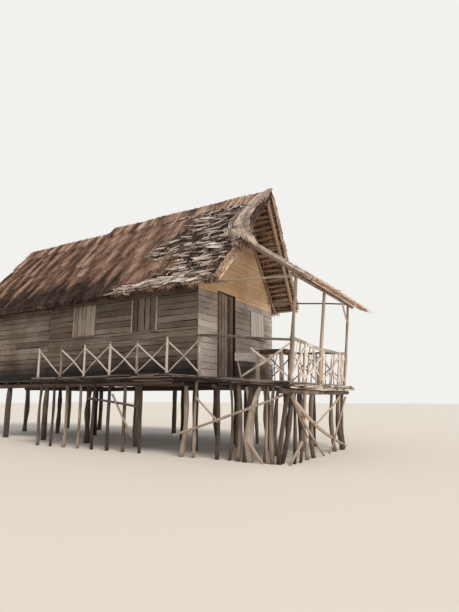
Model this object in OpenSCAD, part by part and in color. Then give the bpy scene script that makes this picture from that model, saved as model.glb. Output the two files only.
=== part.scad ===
// Thatched beach house on stilts, with a plank walkway along its long side
// and a terrace with a lean-to porch roof in front of its gable.
// X runs along the ridge towards the terrace, Y across the gable, Z up.
// The origin is the middle of the front corner stilt's foot, at ground level.

/* [House] */
// Length of the main house along the ridge
house_l = 4700; // [4000:50:5600]
// Length of the annex behind the main house
annex_l = 3300; // [2400:50:4200]
// Width across the gable, over the boards
house_w = 3600; // [3200:50:4200]
// Height of the house floor above the ground
floor_h = 1500; // [1100:50:2000]
// Height of the main house's long walls above the floor
wall_h = 2030; // [1900:10:2400]
// Step down of the annex's walls and roof
annex_drop = 100; // [60:5:160]
// Thickness of the wall boards
board_t = 25; // [18:1:35]
// Thickness of the floor boards
floor_t = 25; // [18:1:40]
// Width of the squared frame posts and plates behind the boards
frame_t = 70; // [50:5:90]

/* [Doorway] */
// Distance of the doorway from the near long wall's face
door_y = 760; // [500:10:900]
// Width of the doorway between its jambs
door_w = 820; // [700:10:950]
// Height of the doorway above the floor
door_h = 1960; // [1800:10:2000]
// Gap between the door leaf and its frame
door_gap = 8; // [6:1:12]
// Thickness of the door planks
plank_t = 25; // [18:1:30]

/* [Windows] */
// Width of a window in a long wall
window_w = 700; // [500:10:800]
// Height of a window
window_h = 740; // [500:10:800]
// Height of a long-wall window's sill above the floor
sill_h = 1040; // [800:10:1100]
// Distance of the first long-wall window from the gable's face
window_x1 = 1120; // [900:10:1400]
// Distance of the second long-wall window from the gable's face
window_x2 = 3070; // [2600:10:3300]
// Distance of the gable window from the far long wall's face
gable_window_in = 500; // [400:10:900]
// Width of the gable window
gable_window_w = 730; // [500:10:800]
// Thickness of the shutter boards
shutter_t = 22; // [16:1:30]

/* [Roof] */
// Pitch of the main roof in degrees
roof_pitch = 51.3; // [45:0.1:56]
// Thickness of the thatch, square to the slope
thatch_t = 120; // [90:5:160]
// Overhang of the eaves beyond the wall's face, measured level
eave_out = 200; // [120:10:320]
// Overhang of the ridge in front of the gable
ridge_out = 930; // [700:10:1100]
// Overhang of the far slope in front of the gable at its eave
far_verge_out = 700; // [500:10:900]
// Overhang of the near slope in front of the gable at its eave
near_verge_out = 570; // [450:10:650]
// Overhang of the roof behind the annex
rear_out = 250; // [150:10:400]
// Distance of the main roof's rear edge in front of the annex's walls
seam_in = 350; // [200:10:500]
// Number of thatch courses down a slope
course_count = 11; // [8:1:14]
// Rise of a course's lower edge over the next course
course_step = 40; // [20:2:50]
// Radius of the rafter poles
rafter_r = 35; // [25:1:45]
// Radius of the thin poles across the rafters
batten_r = 12; // [8:1:16]
// Radius of the ridge pole
ridge_r = 45; // [35:1:60]

/* [Terrace] */
// Reach of the terrace in front of the gable
terrace_l = 2475; // [2000:25:3000]
// Reach of the terrace and the walkway beyond the near long wall
walk_w = 920; // [700:10:1100]
// Reach of the terrace along the gable, from the near long wall's face
terrace_w = 2160; // [1900:10:2600]
// Sag of the terrace deck at its outer edge
deck_sag = 160; // [0:5:220]
// Thickness of the deck boards
deck_t = 22; // [18:1:35]
// Spacing of the railing posts
bay = 756; // [700:4:800]
// Distance of the first railing post in front of the gable
first_post = 660; // [560:10:690]
// Width of the open bay in the terrace's front railing
open_bay = 890; // [700:10:1000]
// Length of the walkway along the near long wall
walk_l = 4000; // [3400:50:4600]
// Number of the walkway railing's bays
walk_bays = 5; // [4:1:6]
// Height of the railings above the deck
rail_h = 680; // [550:10:900]
// Radius of the railing posts
post_r = 30; // [22:1:40]
// Radius of the railing's top poles
rail_r = 24; // [18:1:32]
// Radius of the crossed railing sticks
stick_r = 15; // [10:1:20]
// Radius of the poles along the decks' edges
edge_r = 42; // [30:1:50]

/* [Porch] */
// Pitch of the porch roof in degrees
porch_pitch = 35.5; // [32:0.5:38]
// Height of the porch roof's underside above the floor at the outer posts
porch_h = 1700; // [1650:10:1900]
// Reach of the outer posts' tops beyond the terrace's edge
porch_lean = 125; // [60:5:160]
// Overhang of the porch roof beyond its outer posts' tops
porch_out = 300; // [200:10:400]
// Thickness of the porch thatch
porch_t = 90; // [60:5:120]
// Radius of the porch posts
porch_post_r = 34; // [28:1:50]

/* [Stilts] */
// Radius of the house stilts
stilt_r = 75; // [55:5:95]
// Number of stilts in each row under the house
row_count = 6; // [5:1:8]
// Radius of the poles that lie on the stilts
bearer_r = 60; // [45:1:70]
// Radius of the joists across the bearers
joist_r = 40; // [30:1:50]
// Distance of the corner stilts' middles inside the wall faces
corner_in = 110; // [90:5:150]

/* [Hidden] */
$fn = 40;
seat = 0.3;
big = 20000;

x_gable = corner_in;
y_near = -corner_in;
y_far = y_near + house_w;
y_mid = y_near + house_w / 2;
x_seam = x_gable - house_l;
x_end = x_seam - annex_l;
z_floor = floor_h;
z_joist = z_floor - floor_t - seat - joist_r;
z_bearer = z_joist - joist_r - seat - bearer_r;

// Rise of the roof for each unit across it
roof_rise = tan(roof_pitch);
// Level where the rafters' underside meets the long wall's face
z_plate = z_floor + wall_h;
// Offset from the rafters' underside to the thatch's underside
rafter_depth = 2 * rafter_r + 2 * batten_r + 2 * seat;
z_thatch_face = z_plate + rafter_depth / cos(roof_pitch);
z_apex = z_thatch_face + roof_rise * house_w / 2;
slope_l = (house_w / 2 + eave_out) / cos(roof_pitch);

x_outer = x_gable + terrace_l;
y_outer = y_near - walk_w;
y_back = y_near + terrace_w;
sag_angle = atan(deck_sag / terrace_l);
x_walk = x_gable - walk_l;
x_roof_seam = x_seam + seam_in;
deck_w = walk_w + terrace_w;

ROW_Y = [0, y_mid, y_far - corner_in];
row_step = (house_l + annex_l - 2 * corner_in) / (row_count - 1);

// A round pole from point a to point b, with a radius at each end
module pole(a, b, r1, r2) {
    d = b - a;
    len = norm(d);
    translate(a) rotate([0, acos(d[2] / len), atan2(d[1], d[0])])
        cylinder(h = len, r1 = r1, r2 = r2);
}

// Everything under the ground's level
module underground() {
    translate([-big, -big, -2 * big]) cube(2 * big);
}

// A leaning stilt from its top to the ground, before its foot is cut level
module stilt(top, foot, r) {
    d = foot - top;
    pole(top, foot + d / norm(d) * 2 * r, r, r);
}

// A row of stilts under one bearer, notched to its round
module stilt_row(y) {
    difference() {
        for (i = [0 : row_count - 1])
            translate([-i * row_step, y, 0]) cylinder(h = z_bearer, r = stilt_r);
        bearer(y, seat);
    }
}

// One bearer along the house, with its surface grown by grow
module bearer(y, grow = 0) {
    translate([x_end, y, z_bearer]) rotate([0, 90, 0])
        cylinder(h = house_l + annex_l, r = bearer_r + grow);
}

module near_stilts() { color("#75634f") stilt_row(ROW_Y[0]); }
module middle_stilts() { color("#75634f") stilt_row(ROW_Y[1]); }
module far_stilts() { color("#75634f") stilt_row(ROW_Y[2]); }

module house_bearers() {
    color("#5c4a3a") {
        for (y = ROW_Y) bearer(y);
        walk_bearer();
    }
}

// Bearer under the walkway's outer edge
walk_bearer_r = 45;
walk_y = y_outer + 2 * walk_bearer_r;
z_walk_bearer = z_joist - joist_r - seat - walk_bearer_r;
module walk_bearer(grow = 0) {
    translate([x_walk, walk_y, z_walk_bearer]) rotate([0, 90, 0])
        cylinder(h = walk_l, r = walk_bearer_r + grow);
}

walk_stilt_r = 38;
walk_stilt_step = 430;
walk_stilt_count = floor((walk_l - bay) / walk_stilt_step);
module walkway_stilts(grow = 0) {
    color("#8a7560") difference() {
        for (i = [0 : walk_stilt_count])
            translate([x_gable - bay - i * walk_stilt_step, walk_y, 0])
                cylinder(h = z_walk_bearer, r = walk_stilt_r + grow);
        walk_bearer(seat);
    }
}

// Joists across the house; those beside the walkway run on under its deck
joist_count = 16;
joist_step = (house_l + annex_l - 2 * joist_r) / (joist_count - 1);
module floor_joists() {
    color("#6b5846") for (i = [0 : joist_count - 1]) {
        x = x_gable - joist_r - i * joist_step;
        y0 = x > x_walk ? y_outer + joist_r / 2 : y_near;
        translate([x, y0, z_joist]) rotate([-90, 0, 0])
            cylinder(h = y_far - y0, r = joist_r);
    }
}

module house_floor() {
    color("#8f7c66") translate([x_end, y_near, z_floor - floor_t])
        cube([house_l + annex_l, house_w, floor_t]);
}

module walkway_deck() {
    color("#a8948a") translate([x_walk, y_outer, z_floor - floor_t])
        cube([walk_l - seat, walk_w - seat, floor_t]);
}

// Puts its children on the sagging terrace, whose hinge line is the gable's foot
module on_terrace() {
    translate([x_gable, 0, z_floor - floor_t]) rotate([0, sag_angle, 0]) children();
}

// Level of the terrace deck's top at a distance in front of the gable
function deck_z(x) = z_floor - floor_t - (x - x_gable) * tan(sag_angle);

stringer_r = 40;
stringer_count = 5;
stringer_step = (deck_w - 3 * stringer_r) / (stringer_count - 1);
// Room left between the stringers' ends and the house's joists
stringer_start = 12;
module stringers(grow = 0) {
    on_terrace() for (i = [0 : stringer_count - 1])
        translate([stringer_start, y_outer + 1.5 * stringer_r + i * stringer_step,
                -deck_t - seat - stringer_r])
            rotate([0, 90, 0])
                cylinder(h = terrace_l / cos(sag_angle) - stringer_start, r = stringer_r + grow);
}

module terrace_stringers() { color("#6b5846") stringers(); }

module terrace_deck() {
    color("#a8948a") on_terrace() translate([seat, y_outer, -deck_t])
        cube([terrace_l / cos(sag_angle) - seat, deck_w, deck_t]);
}

// Poles along the decks' outer edges; the one at the terrace's end runs past both corners
module deck_edge_poles() {
    y_front = y_outer - seat - edge_r;
    edge_l = terrace_l / cos(sag_angle);
    past_near = 150;
    past_far = 430;
    color("#8f7c66") {
        translate([x_walk, y_front, z_floor - edge_r]) rotate([0, 90, 0])
            cylinder(h = walk_l, r = edge_r);
        on_terrace() {
            translate([0, y_front, -edge_r]) rotate([0, 90, 0])
                cylinder(h = edge_l + edge_r, r = edge_r);
            translate([edge_l + seat + edge_r, y_outer - past_near, -edge_r])
                rotate([-90, 0, 0]) cylinder(h = deck_w + past_near + past_far, r = edge_r);
        }
    }
}

// Level of a terrace bearer's middle, under the stringers at x
cross_r = 55;
function cross_z(x) = deck_z(x)
    - (deck_t + 2 * seat + 2 * stringer_r + cross_r) / cos(sag_angle);
cross_x = [for (share = [0.14, 0.42, 0.71]) x_gable + share * terrace_l, x_outer - 1.5 * cross_r];
// How far each terrace bearer runs past the deck's near and far edges
cross_past = [[70, 90], [90, 60], [60, 110], [230, 330]];

module cross_bearers(grow = 0) {
    for (i = [0 : len(cross_x) - 1])
        translate([cross_x[i], y_outer - cross_past[i][0], cross_z(cross_x[i])])
            rotate([-90, 0, 0])
                cylinder(h = deck_w + cross_past[i][0] + cross_past[i][1], r = cross_r + grow);
}

module terrace_bearers() { color("#6b5846") cross_bearers(); }

// Stilts under the bearers, as the crooked poles stand: the bearer's number, the distance
// from the terrace's near edge, the foot's lean along X and along Y, and the radius
BEARER_STILTS = [
    [0, 70, -80, 0, 52], [0, 1080, 40, 30, 48], [0, 2060, -30, 0, 50], [0, 2960, 0, -40, 52],
    [1, 70, -20, 20, 42], [1, 1120, 60, -50, 50], [1, 2010, 0, 60, 46], [1, 2970, 30, 0, 48],
    [2, 1060, -70, 40, 50], [2, 2080, 40, 0, 44], [2, 2950, -40, 50, 50],
    [3, 80, -190, 0, 50], [3, 190, -190, 10, 44], [3, 330, 0, -60, 36],
    [3, 620, 30, -170, 30], [3, 800, 0, 30, 34],
    [3, 1150, 0, -20, 50], [3, 2290, 0, 30, 50], [3, 2700, 40, 0, 56], [3, 2980, -30, 40, 40]
];
// Stilts between the bearers, under the nearest stringer: the share of the terrace's
// reach, the foot's lean along X and along Y, and the radius
STRINGER_STILTS = [
    [0.24, -60, 0, 34], [0.53, -30, 20, 28], [0.595, -20, 0, 44], [0.79, -20, 0, 31],
    [0.825, -40, 0, 25], [0.865, -50, 0, 44]
];
// Forked driftwood trunk that holds the third bearer's near end: height of the fork, reach
// of the fork and of the foot behind the bearer, half the spread of its arms, and the radius
FORK = [860, 50, 150, 80, 68];

module terrace_stilts(grow = 0) {
    y_near_row = y_outer + 1.5 * stringer_r;
    x_fork = cross_x[2];
    z_top = cross_z(x_fork) + cross_r + stringer_r;
    fork = [x_fork - FORK[1], y_near_row, FORK[0]];
    color("#7d6a5a") difference() {
        union() {
            for (s = BEARER_STILTS) {
                top = [cross_x[s[0]], y_outer + s[1], cross_z(cross_x[s[0]])];
                stilt(top, [top[0] + s[2], top[1] + s[3], 0], s[4] + grow);
            }
            for (s = STRINGER_STILTS) {
                x = x_gable + s[0] * terrace_l;
                top = [x, y_near_row, cross_z(x) + cross_r + stringer_r];
                stilt(top, [x + s[1], y_near_row + s[2], 0], s[3] + grow);
            }
            stilt(fork, [x_fork - FORK[2], y_near_row, 0], FORK[4] + grow);
            for (side = [-1, 1])
                pole(fork, [x_fork + side * FORK[3], y_near_row, z_top],
                    0.8 * FORK[4] + grow, 0.55 * FORK[4] + grow);
        }
        cross_bearers(seat);
        stringers(seat);
        underground();
    }
}

// Long braces outside the stilts: ends as a share of the terrace's reach or width and a
// height, and the radius. The first list stands in front of the near row, the second
// in front of the outer row, the third in front of the walkway's row.
NEAR_BRACES = [
    [0.05, 380, 0.94, 1090, 24], [0.25, 1060, 0.44, 640, 20], [0.68, 340, 0.79, 0, 28]
];
OUTER_BRACES = [
    [0.02, 1080, 0.24, 380, 22], [0.04, 1120, 0.46, 0, 24], [0.14, 830, 0.9, 70, 36],
    [0.85, 1090, 0.36, 560, 22], [0.15, 330, 0.0, 60, 22]
];
WALK_BRACES = [[0.37, 1120, 0.23, 300, 24], [0.55, 1040, 0.2, 880, 26]];

module stilt_braces() {
    y_face = y_outer - 5;
    x_face = cross_x[3] + 52;
    y_walk_face = walk_y - walk_stilt_r - 18;
    color("#75634f") difference() {
        union() {
            for (b = NEAR_BRACES)
                pole([x_gable + b[0] * terrace_l, y_face, b[1]],
                    [x_gable + b[2] * terrace_l, y_face, b[3]], b[4], 0.8 * b[4]);
            for (b = OUTER_BRACES)
                pole([x_face, y_outer + b[0] * deck_w, b[1]],
                    [x_face, y_outer + b[2] * deck_w, b[3]], b[4], 0.8 * b[4]);
            for (b = WALK_BRACES)
                pole([x_gable - b[0] * walk_l, y_walk_face, b[1]],
                    [x_gable - b[2] * walk_l, y_walk_face, b[3]], b[4], 0.8 * b[4]);
        }
        terrace_stilts(seat);
        walkway_stilts(seat);
        cross_bearers(seat);
        walk_bearer(seat);
        stringers(seat);
        underground();
    }
}

// A window's cut through a long wall, from its distance to the gable's face
module long_window_cut(d) {
    translate([x_gable - d - window_w, -big, z_floor + sill_h])
        cube([window_w, 2 * big, window_h]);
}

module long_wall(y, x0, x1, top) {
    difference() {
        translate([x0, y, z_floor]) cube([x1 - x0, board_t, top - z_floor]);
        long_window_cut(window_x1);
        long_window_cut(window_x2);
    }
}

module near_wall() {
    color("#7d6f5f") long_wall(y_near, x_seam, x_gable - board_t - seat, z_plate);
}
module far_wall() {
    color("#7d6f5f") long_wall(y_far - board_t, x_seam, x_gable - board_t - seat, z_plate);
}
module annex_walls() {
    color("#7d6f5f") for (y = [y_near, y_far - board_t])
        long_wall(y, x_end + board_t + seat, x_seam - seat, z_plate - annex_drop);
}

// Gable board outline above a level, up to the battens' underside
gable_drop = (2 * batten_r + 2 * seat) / cos(roof_pitch);
module gable_outline(base) {
    z0 = z_thatch_face - gable_drop;
    polygon([[y_near, base], [y_far, base], [y_far, z0], [y_mid, z0 + roof_rise * house_w / 2],
        [y_near, z0]]);
}

// Stands an outline drawn in Y and Z up as a wall whose outer face is at x
module across(x, t) {
    translate([x - t, 0, 0]) rotate([90, 0, 90]) linear_extrude(t) children();
}

gable_window_h = window_h - 60;
gable_window_y = y_far - gable_window_in - gable_window_w;
module gable_window_cut() {
    translate([-big, gable_window_y, z_floor + sill_h])
        cube([2 * big, gable_window_w, gable_window_h]);
}

// Boards beside the doorway; the window is cut through the far side's
module gable_panels() {
    color("#c5bbae") {
        translate([x_gable - board_t, y_near, z_floor]) cube([board_t, door_y, door_h]);
        difference() {
            translate([x_gable - board_t, y_near + door_y + door_w, z_floor])
                cube([board_t, house_w - door_y - door_w, door_h]);
            gable_window_cut();
        }
    }
}

module front_gable() {
    color("#b39a78") difference() {
        across(x_gable, board_t) gable_outline(z_floor + door_h + seat);
        ridge_cut();
    }
}

module rear_gable_wall() {
    color("#7d6f5f") difference() {
        translate([0, 0, -annex_drop]) across(x_end + board_t, board_t)
            gable_outline(z_floor + annex_drop);
        translate([0, 0, -annex_drop]) ridge_cut();
    }
}

// Posts behind the boards, on the floor and under the plates
post_x = [x_gable - board_t - seat - frame_t, x_seam - frame_t / 2, x_end + board_t + seat];
module wall_posts() {
    color("#6b5846") for (x = post_x, y = [y_near + board_t + seat, y_far - board_t - seat - frame_t])
        translate([x, y, z_floor])
            cube([frame_t, frame_t, post_top(x) - z_floor - frame_t - seat]);
}
function post_top(x) = x < x_seam ? z_plate - annex_drop : z_plate;

module wall_plates() {
    color("#6b5846") for (y = [y_near + board_t + seat, y_far - board_t - seat - frame_t]) {
        translate([x_seam + seat, y, z_plate - frame_t])
            cube([house_l - board_t - 2 * seat, frame_t, frame_t]);
        translate([x_end + board_t + seat, y, z_plate - annex_drop - frame_t])
            cube([annex_l - board_t - seat, frame_t, frame_t]);
    }
}

// Door frame: two jambs on the floor and a head between the boards
jamb_w = 50;
jamb_d = frame_t;
module door_frame() {
    color("#5c4a3a") difference() {
        translate([x_gable - board_t - seat - jamb_d, y_near + door_y - jamb_w, z_floor])
            cube([jamb_d, door_w + 2 * jamb_w, door_h + jamb_w]);
        translate([x_gable - big / 2, y_near + door_y, z_floor - 1])
            cube([big, door_w, door_h + 1]);
    }
}

// Hinge line of the door, on the inner side of the near jamb
ledge_t = 25;
strap_t = 6;
eye_r = 12;
pin_r = 6;
x_frame = x_gable - board_t - seat;
hinge_x = x_frame - jamb_d - eye_r - 1;
hinge_y = y_near + door_y;
leaf_x = x_frame - jamb_d;
leaf_y = hinge_y + 5;
leaf_w = door_w - 5 - door_gap;
leaf_h = door_h - 2 * door_gap;
strap_z = [z_floor + 350, z_floor + door_h - 350];
strap_w = 40;

module door_planks() {
    color("#8a7767") {
        translate([leaf_x + ledge_t, leaf_y, z_floor + door_gap]) cube([plank_t, leaf_w, leaf_h]);
        for (z = strap_z) translate([leaf_x, leaf_y, z - 60]) cube([ledge_t, leaf_w, 120]);
    }
}

module door_straps() {
    color("#4a3428") for (z = strap_z) difference() {
        union() {
            translate([leaf_x - strap_t - seat, hinge_y, z - strap_w / 2])
                cube([strap_t, 0.56 * leaf_w, strap_w]);
            translate([hinge_x, hinge_y, z - strap_w / 2]) cylinder(h = strap_w, r = eye_r);
        }
        translate([hinge_x, hinge_y, z - strap_w]) cylinder(h = 2 * strap_w, r = pin_r + seat);
    }
}

module door_pintles() {
    color("#4a3428") for (z = strap_z) {
        translate([hinge_x, hinge_y, z - strap_w / 2 - 20]) cylinder(h = strap_w + 30, r = pin_r);
        translate([hinge_x, hinge_y, z - strap_w / 2 - 20]) cylinder(h = 19, r = eye_r);
        translate([hinge_x - eye_r / 2, hinge_y - 45, z - strap_w / 2 - 20])
            cube([x_frame - jamb_d - hinge_x + eye_r / 2 - seat, 45, 19]);
    }
}

// Shutters of the long walls, on the boards' outer side
module long_wall_shutters() {
    color("#8f8374") for (d = [window_x1, window_x2]) {
        translate([x_gable - d - window_w - 15, y_near - shutter_t - seat, z_floor + sill_h - 15])
            cube([window_w + 30, shutter_t, window_h + 30]);
        translate([x_gable - d - window_w - 15, y_far + seat, z_floor + sill_h - 15])
            cube([window_w + 30, shutter_t, window_h + 30]);
    }
}

module gable_shutter() {
    color("#cfc6ba") translate([x_gable + seat, gable_window_y - 15, z_floor + sill_h - 15])
        cube([shutter_t, gable_window_w + 30, window_h - 30]);
}

// Puts its children on a slope: x stays, y runs up the slope from the eave side,
// z points out of the roof; the plane is the thatch's underside and y = 0 the apex.
// side is 1 for the near slope and -1 for the far one.
module on_slope(side, drop = 0) {
    translate([0, y_mid, z_apex - drop])
        mirror([0, side < 0 ? 1 : 0, 0]) rotate([roof_pitch, 0, 0]) children();
}

// Keeps a slope's solids on their own side of the ridge, short of it by room
module own_side(side, room = seat / 2) {
    difference() {
        children();
        translate([-big, side > 0 ? y_mid - room : y_mid + room - 2 * big, -big])
            cube(2 * big);
    }
}

z_ridge_pole = z_apex - (2 * batten_r + seat + rafter_r) / cos(roof_pitch);
module ridge_cut(grow = seat) {
    translate([x_end - big / 2, y_mid, z_ridge_pole]) rotate([0, 90, 0])
        cylinder(h = big, r = ridge_r + grow);
}

// Distance that the roof's poles stop short of the thatch's edges
tuck = 60;
module ridge_pole() {
    x_rear = x_end - rear_out + tuck;
    color("#6b4a35") {
        translate([x_roof_seam + seat, y_mid, z_ridge_pole]) rotate([0, 90, 0])
            cylinder(h = x_gable + ridge_out - tuck - x_roof_seam, r = ridge_r);
        translate([x_rear, y_mid, z_ridge_pole - annex_drop]) rotate([0, 90, 0])
            cylinder(h = x_roof_seam - x_rear - seat, r = ridge_r);
    }
}

// Reach of a slope's front edge beyond the gable, by the distance down from the ridge
NEAR_VERGE = [
    [0, ridge_out], [0.17 * slope_l, ridge_out - 160], [0.33 * slope_l, ridge_out - 190],
    [0.65 * slope_l, near_verge_out + 150], [slope_l, near_verge_out]
];
FAR_VERGE = [[0, ridge_out], [slope_l, far_verge_out]];
function verge(side, s) = lookup(s, side > 0 ? NEAR_VERGE : FAR_VERGE);

// Places of the rafters along the house, beside both gables and evenly between
by_wall = rafter_r + 25;
rafter_first = x_gable - board_t - 3 * rafter_r;
rafter_last = x_roof_seam + by_wall;
rafter_x = concat([x_gable + by_wall],
    [for (i = [0 : 4]) rafter_first - i * (rafter_first - rafter_last) / 4]);
annex_first = x_seam - by_wall;
annex_last = x_end + board_t + by_wall;
annex_rafter_x = concat([for (i = [0 : 3]) annex_first - i * (annex_first - annex_last) / 3],
    [x_end - rear_out + by_wall + 20]);

// Rafter poles of one slope, coped to the ridge pole; one follows the front edge
module rafters(side) {
    z = -2 * batten_r - 2 * seat - rafter_r;
    end = slope_l - 30;
    for (drop = [0, annex_drop]) difference() {
        own_side(side, 0.7 * ridge_r) on_slope(side, drop) {
            for (x = drop > 0 ? annex_rafter_x : rafter_x)
                translate([x, 0, z]) rotate([90, 0, 0]) cylinder(h = end, r = rafter_r);
            if (drop == 0)
                pole([x_gable + ridge_out - 2 * tuck, 0, z],
                    [x_gable + verge(side, end) - 1.5 * tuck, -end, z], rafter_r, rafter_r);
        }
        translate([0, 0, -drop]) ridge_cut();
    }
}
module near_rafters() { color("#6b4a35") rafters(1); }
module far_rafters() { color("#6b4a35") rafters(-1); }

// Thin poles across the rafters, twice as far apart over the annex
batten_first = 120;
batten_step = 150;
batten_count = floor((slope_l - batten_first - tuck) / batten_step);
module battens(side) {
    x_rear = x_end - rear_out + tuck;
    for (i = [0 : batten_count]) {
        s = batten_first + i * batten_step;
        on_slope(side) translate([x_roof_seam + seat, -s, -batten_r - seat]) rotate([0, 90, 0])
            cylinder(h = x_gable + verge(side, s) - tuck - x_roof_seam, r = batten_r);
        if (i % 2 == 0)
            on_slope(side, annex_drop) translate([x_rear, -s, -batten_r - seat])
                rotate([0, 90, 0]) cylinder(h = x_roof_seam - x_rear - seat, r = batten_r);
    }
}
module near_battens() { color("#6b4a35") battens(1); }
module far_battens() { color("#6b4a35") battens(-1); }

// Thatch lies in courses: each thickens towards its lower edge and steps down on the next.
// The strip beside the ridge is plain, because the ridge cap lies on it.
cap_reach = 240;
thatch_low = thatch_t - course_step;
annex_thin = 20;

// Profile of a slope's courses, with the slope's foot to the left
module course_profile(low, length) {
    step = (length - cap_reach) / course_count;
    polygon(concat(
        [[2 * thatch_t, 0], [2 * thatch_t, low]],
        [for (i = [0 : course_count - 1])
            each [[-cap_reach - i * step, low], [-cap_reach - (i + 1) * step, low + course_step]]],
        [[-length, 0]]));
}

// Courses of one slope within the outline that its children draw on the slope
module courses(side, drop, low, length) {
    own_side(side) on_slope(side, drop) intersection() {
        linear_extrude(2 * thatch_t) children();
        translate([x_end - rear_out, 0, 0]) rotate([90, 0, 90])
            linear_extrude(house_l + annex_l + rear_out + 2 * ridge_out)
                course_profile(low, length);
    }
}

module main_outline(table) {
    polygon(concat(
        [[x_roof_seam, 2 * thatch_t], [x_gable + ridge_out, 2 * thatch_t]],
        [for (v = table) [x_gable + v[1], -v[0]]],
        [[x_roof_seam, -slope_l]]));
}

// Flare of the near slope's front edge, where its thatch sweeps on to the porch roof
flare_out = ridge_out + 270;
module flare_outline() {
    lap = 15;
    x_in = x_gable + near_verge_out + 150;
    x_tip = x_gable + flare_out;
    polygon([[x_gable + ridge_out - 190, -0.33 * slope_l], [x_gable + ridge_out - 130, -0.41 * slope_l],
        [x_tip, lap - valley_s(x_tip)], [x_in, lap - valley_s(x_in)]]);
}

module near_thatch() {
    color("#a9795a") courses(1, 0, thatch_low, slope_l) {
        main_outline(NEAR_VERGE);
        flare_outline();
    }
}
module far_thatch() { color("#a9795a") courses(-1, 0, thatch_low, slope_l) main_outline(FAR_VERGE); }

module annex_thatch() {
    annex_slope = slope_l - 120;
    color("#8d654c") for (side = [1, -1])
        courses(side, annex_drop, thatch_low - annex_thin, annex_slope)
            polygon([[x_end - rear_out, 2 * thatch_t], [x_roof_seam - seat, 2 * thatch_t],
                [x_roof_seam - seat, -annex_slope], [x_end - rear_out, -annex_slope]]);
}

// Cap of thatch over the ridge, on the courses' plain strips
cap_t = 60;
cap_flat = 30;
module cap_outline(low) {
    c = (cap_reach - 20) * cos(roof_pitch) + low * sin(roof_pitch);
    under = (low + seat) / cos(roof_pitch);
    over = (low + cap_t) / cos(roof_pitch);
    polygon([[-c, under - c * roof_rise], [0, under], [c, under - c * roof_rise],
        [c, over - c * roof_rise], [cap_flat, over - cap_flat * roof_rise],
        [-cap_flat, over - cap_flat * roof_rise], [-c, over - c * roof_rise]]);
}
module ridge_cap() {
    x_rear = x_end - rear_out;
    color("#8d654c") {
        translate([x_roof_seam, y_mid, z_apex]) rotate([90, 0, 90])
            linear_extrude(x_gable + ridge_out - 10 - x_roof_seam) cap_outline(thatch_low);
        translate([x_rear, y_mid, z_apex - annex_drop]) rotate([90, 0, 90])
            linear_extrude(x_roof_seam - seat - x_rear) cap_outline(thatch_low - annex_thin);
    }
}

// Porch: three leaning posts on the deck carry an eave pole; rafters rise to the gable
inset = 45;
x_post = x_outer - inset;
post_y = [y_outer + inset, y_outer + 0.477 * deck_w, y_back - inset];
eave_pole_r = porch_post_r + 2;
porch_rafter_r = 28;
ledger_r = 30;
tie_r = 21;
x_eave_pole = x_outer + porch_lean;
z_eave_pole = z_floor + porch_h
    - (eave_pole_r + 2 * seat + 2 * porch_rafter_r) / cos(porch_pitch);
porch_back = x_gable + 60;

// Level of the porch thatch's top at x
function porch_top(x) = z_floor + porch_h + porch_t / cos(porch_pitch)
    + (x_eave_pole - x) * tan(porch_pitch);
// Distance down the near slope at which its thatch comes down to the porch thatch's top
function valley_s(x) = (house_w / 2 - (porch_top(x) - z_thatch_face) / roof_rise) / cos(roof_pitch);
// Distance in from a long wall's face at which the porch roof passes under the main rafters
function pass_y(x) = (porch_top(x) - z_plate + 40) / roof_rise;
// Reach along the porch slope of a point at x, from the eave pole's line
function down(x) = (x - x_eave_pole) / cos(porch_pitch);

// Puts its children on the porch slope: x runs down and outwards from the outer
// posts' line, z out of the roof; the plane is the porch thatch's underside
module on_porch() {
    translate([x_eave_pole, 0, z_eave_pole]) rotate([0, porch_pitch, 0])
        translate([0, 0, eave_pole_r + 2 * seat + 2 * porch_rafter_r]) children();
}

module under_deck() {
    on_terrace() translate([-big, -big, -big]) cube([2 * big, 2 * big, big]);
}

module porch_posts(grow = 0) {
    color("#a8948a") difference() {
        for (y = post_y) {
            foot = [x_post, y, deck_z(x_post)];
            top = [x_eave_pole, y, z_eave_pole];
            pole(mix(foot, top, -0.1), mix(foot, top, 0.996),
                porch_post_r + grow, porch_post_r + grow);
        }
        under_deck();
        eave_pole(seat);
    }
}

module eave_pole(grow = 0) {
    past_near = 80;
    past_far = 300;
    translate([x_eave_pole, y_outer - past_near, z_eave_pole]) rotate([-90, 0, 0])
        cylinder(h = deck_w + past_near + past_far, r = eave_pole_r + grow);
}

// Where the porch roof's near edge leaves the main roof, and where its far edge ends
porch_valley = [x_gable + ridge_out - 140, y_near + 600];
porch_end_y = y_back + 430;

// A pole in the porch slope from a to b, each given as x and y
module porch_pole(a, b) {
    on_porch() translate([0, 0, -seat - porch_rafter_r])
        pole([down(a[0]), a[1], 0], [down(b[0]), b[1], 0], porch_rafter_r, porch_rafter_r);
}

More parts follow.
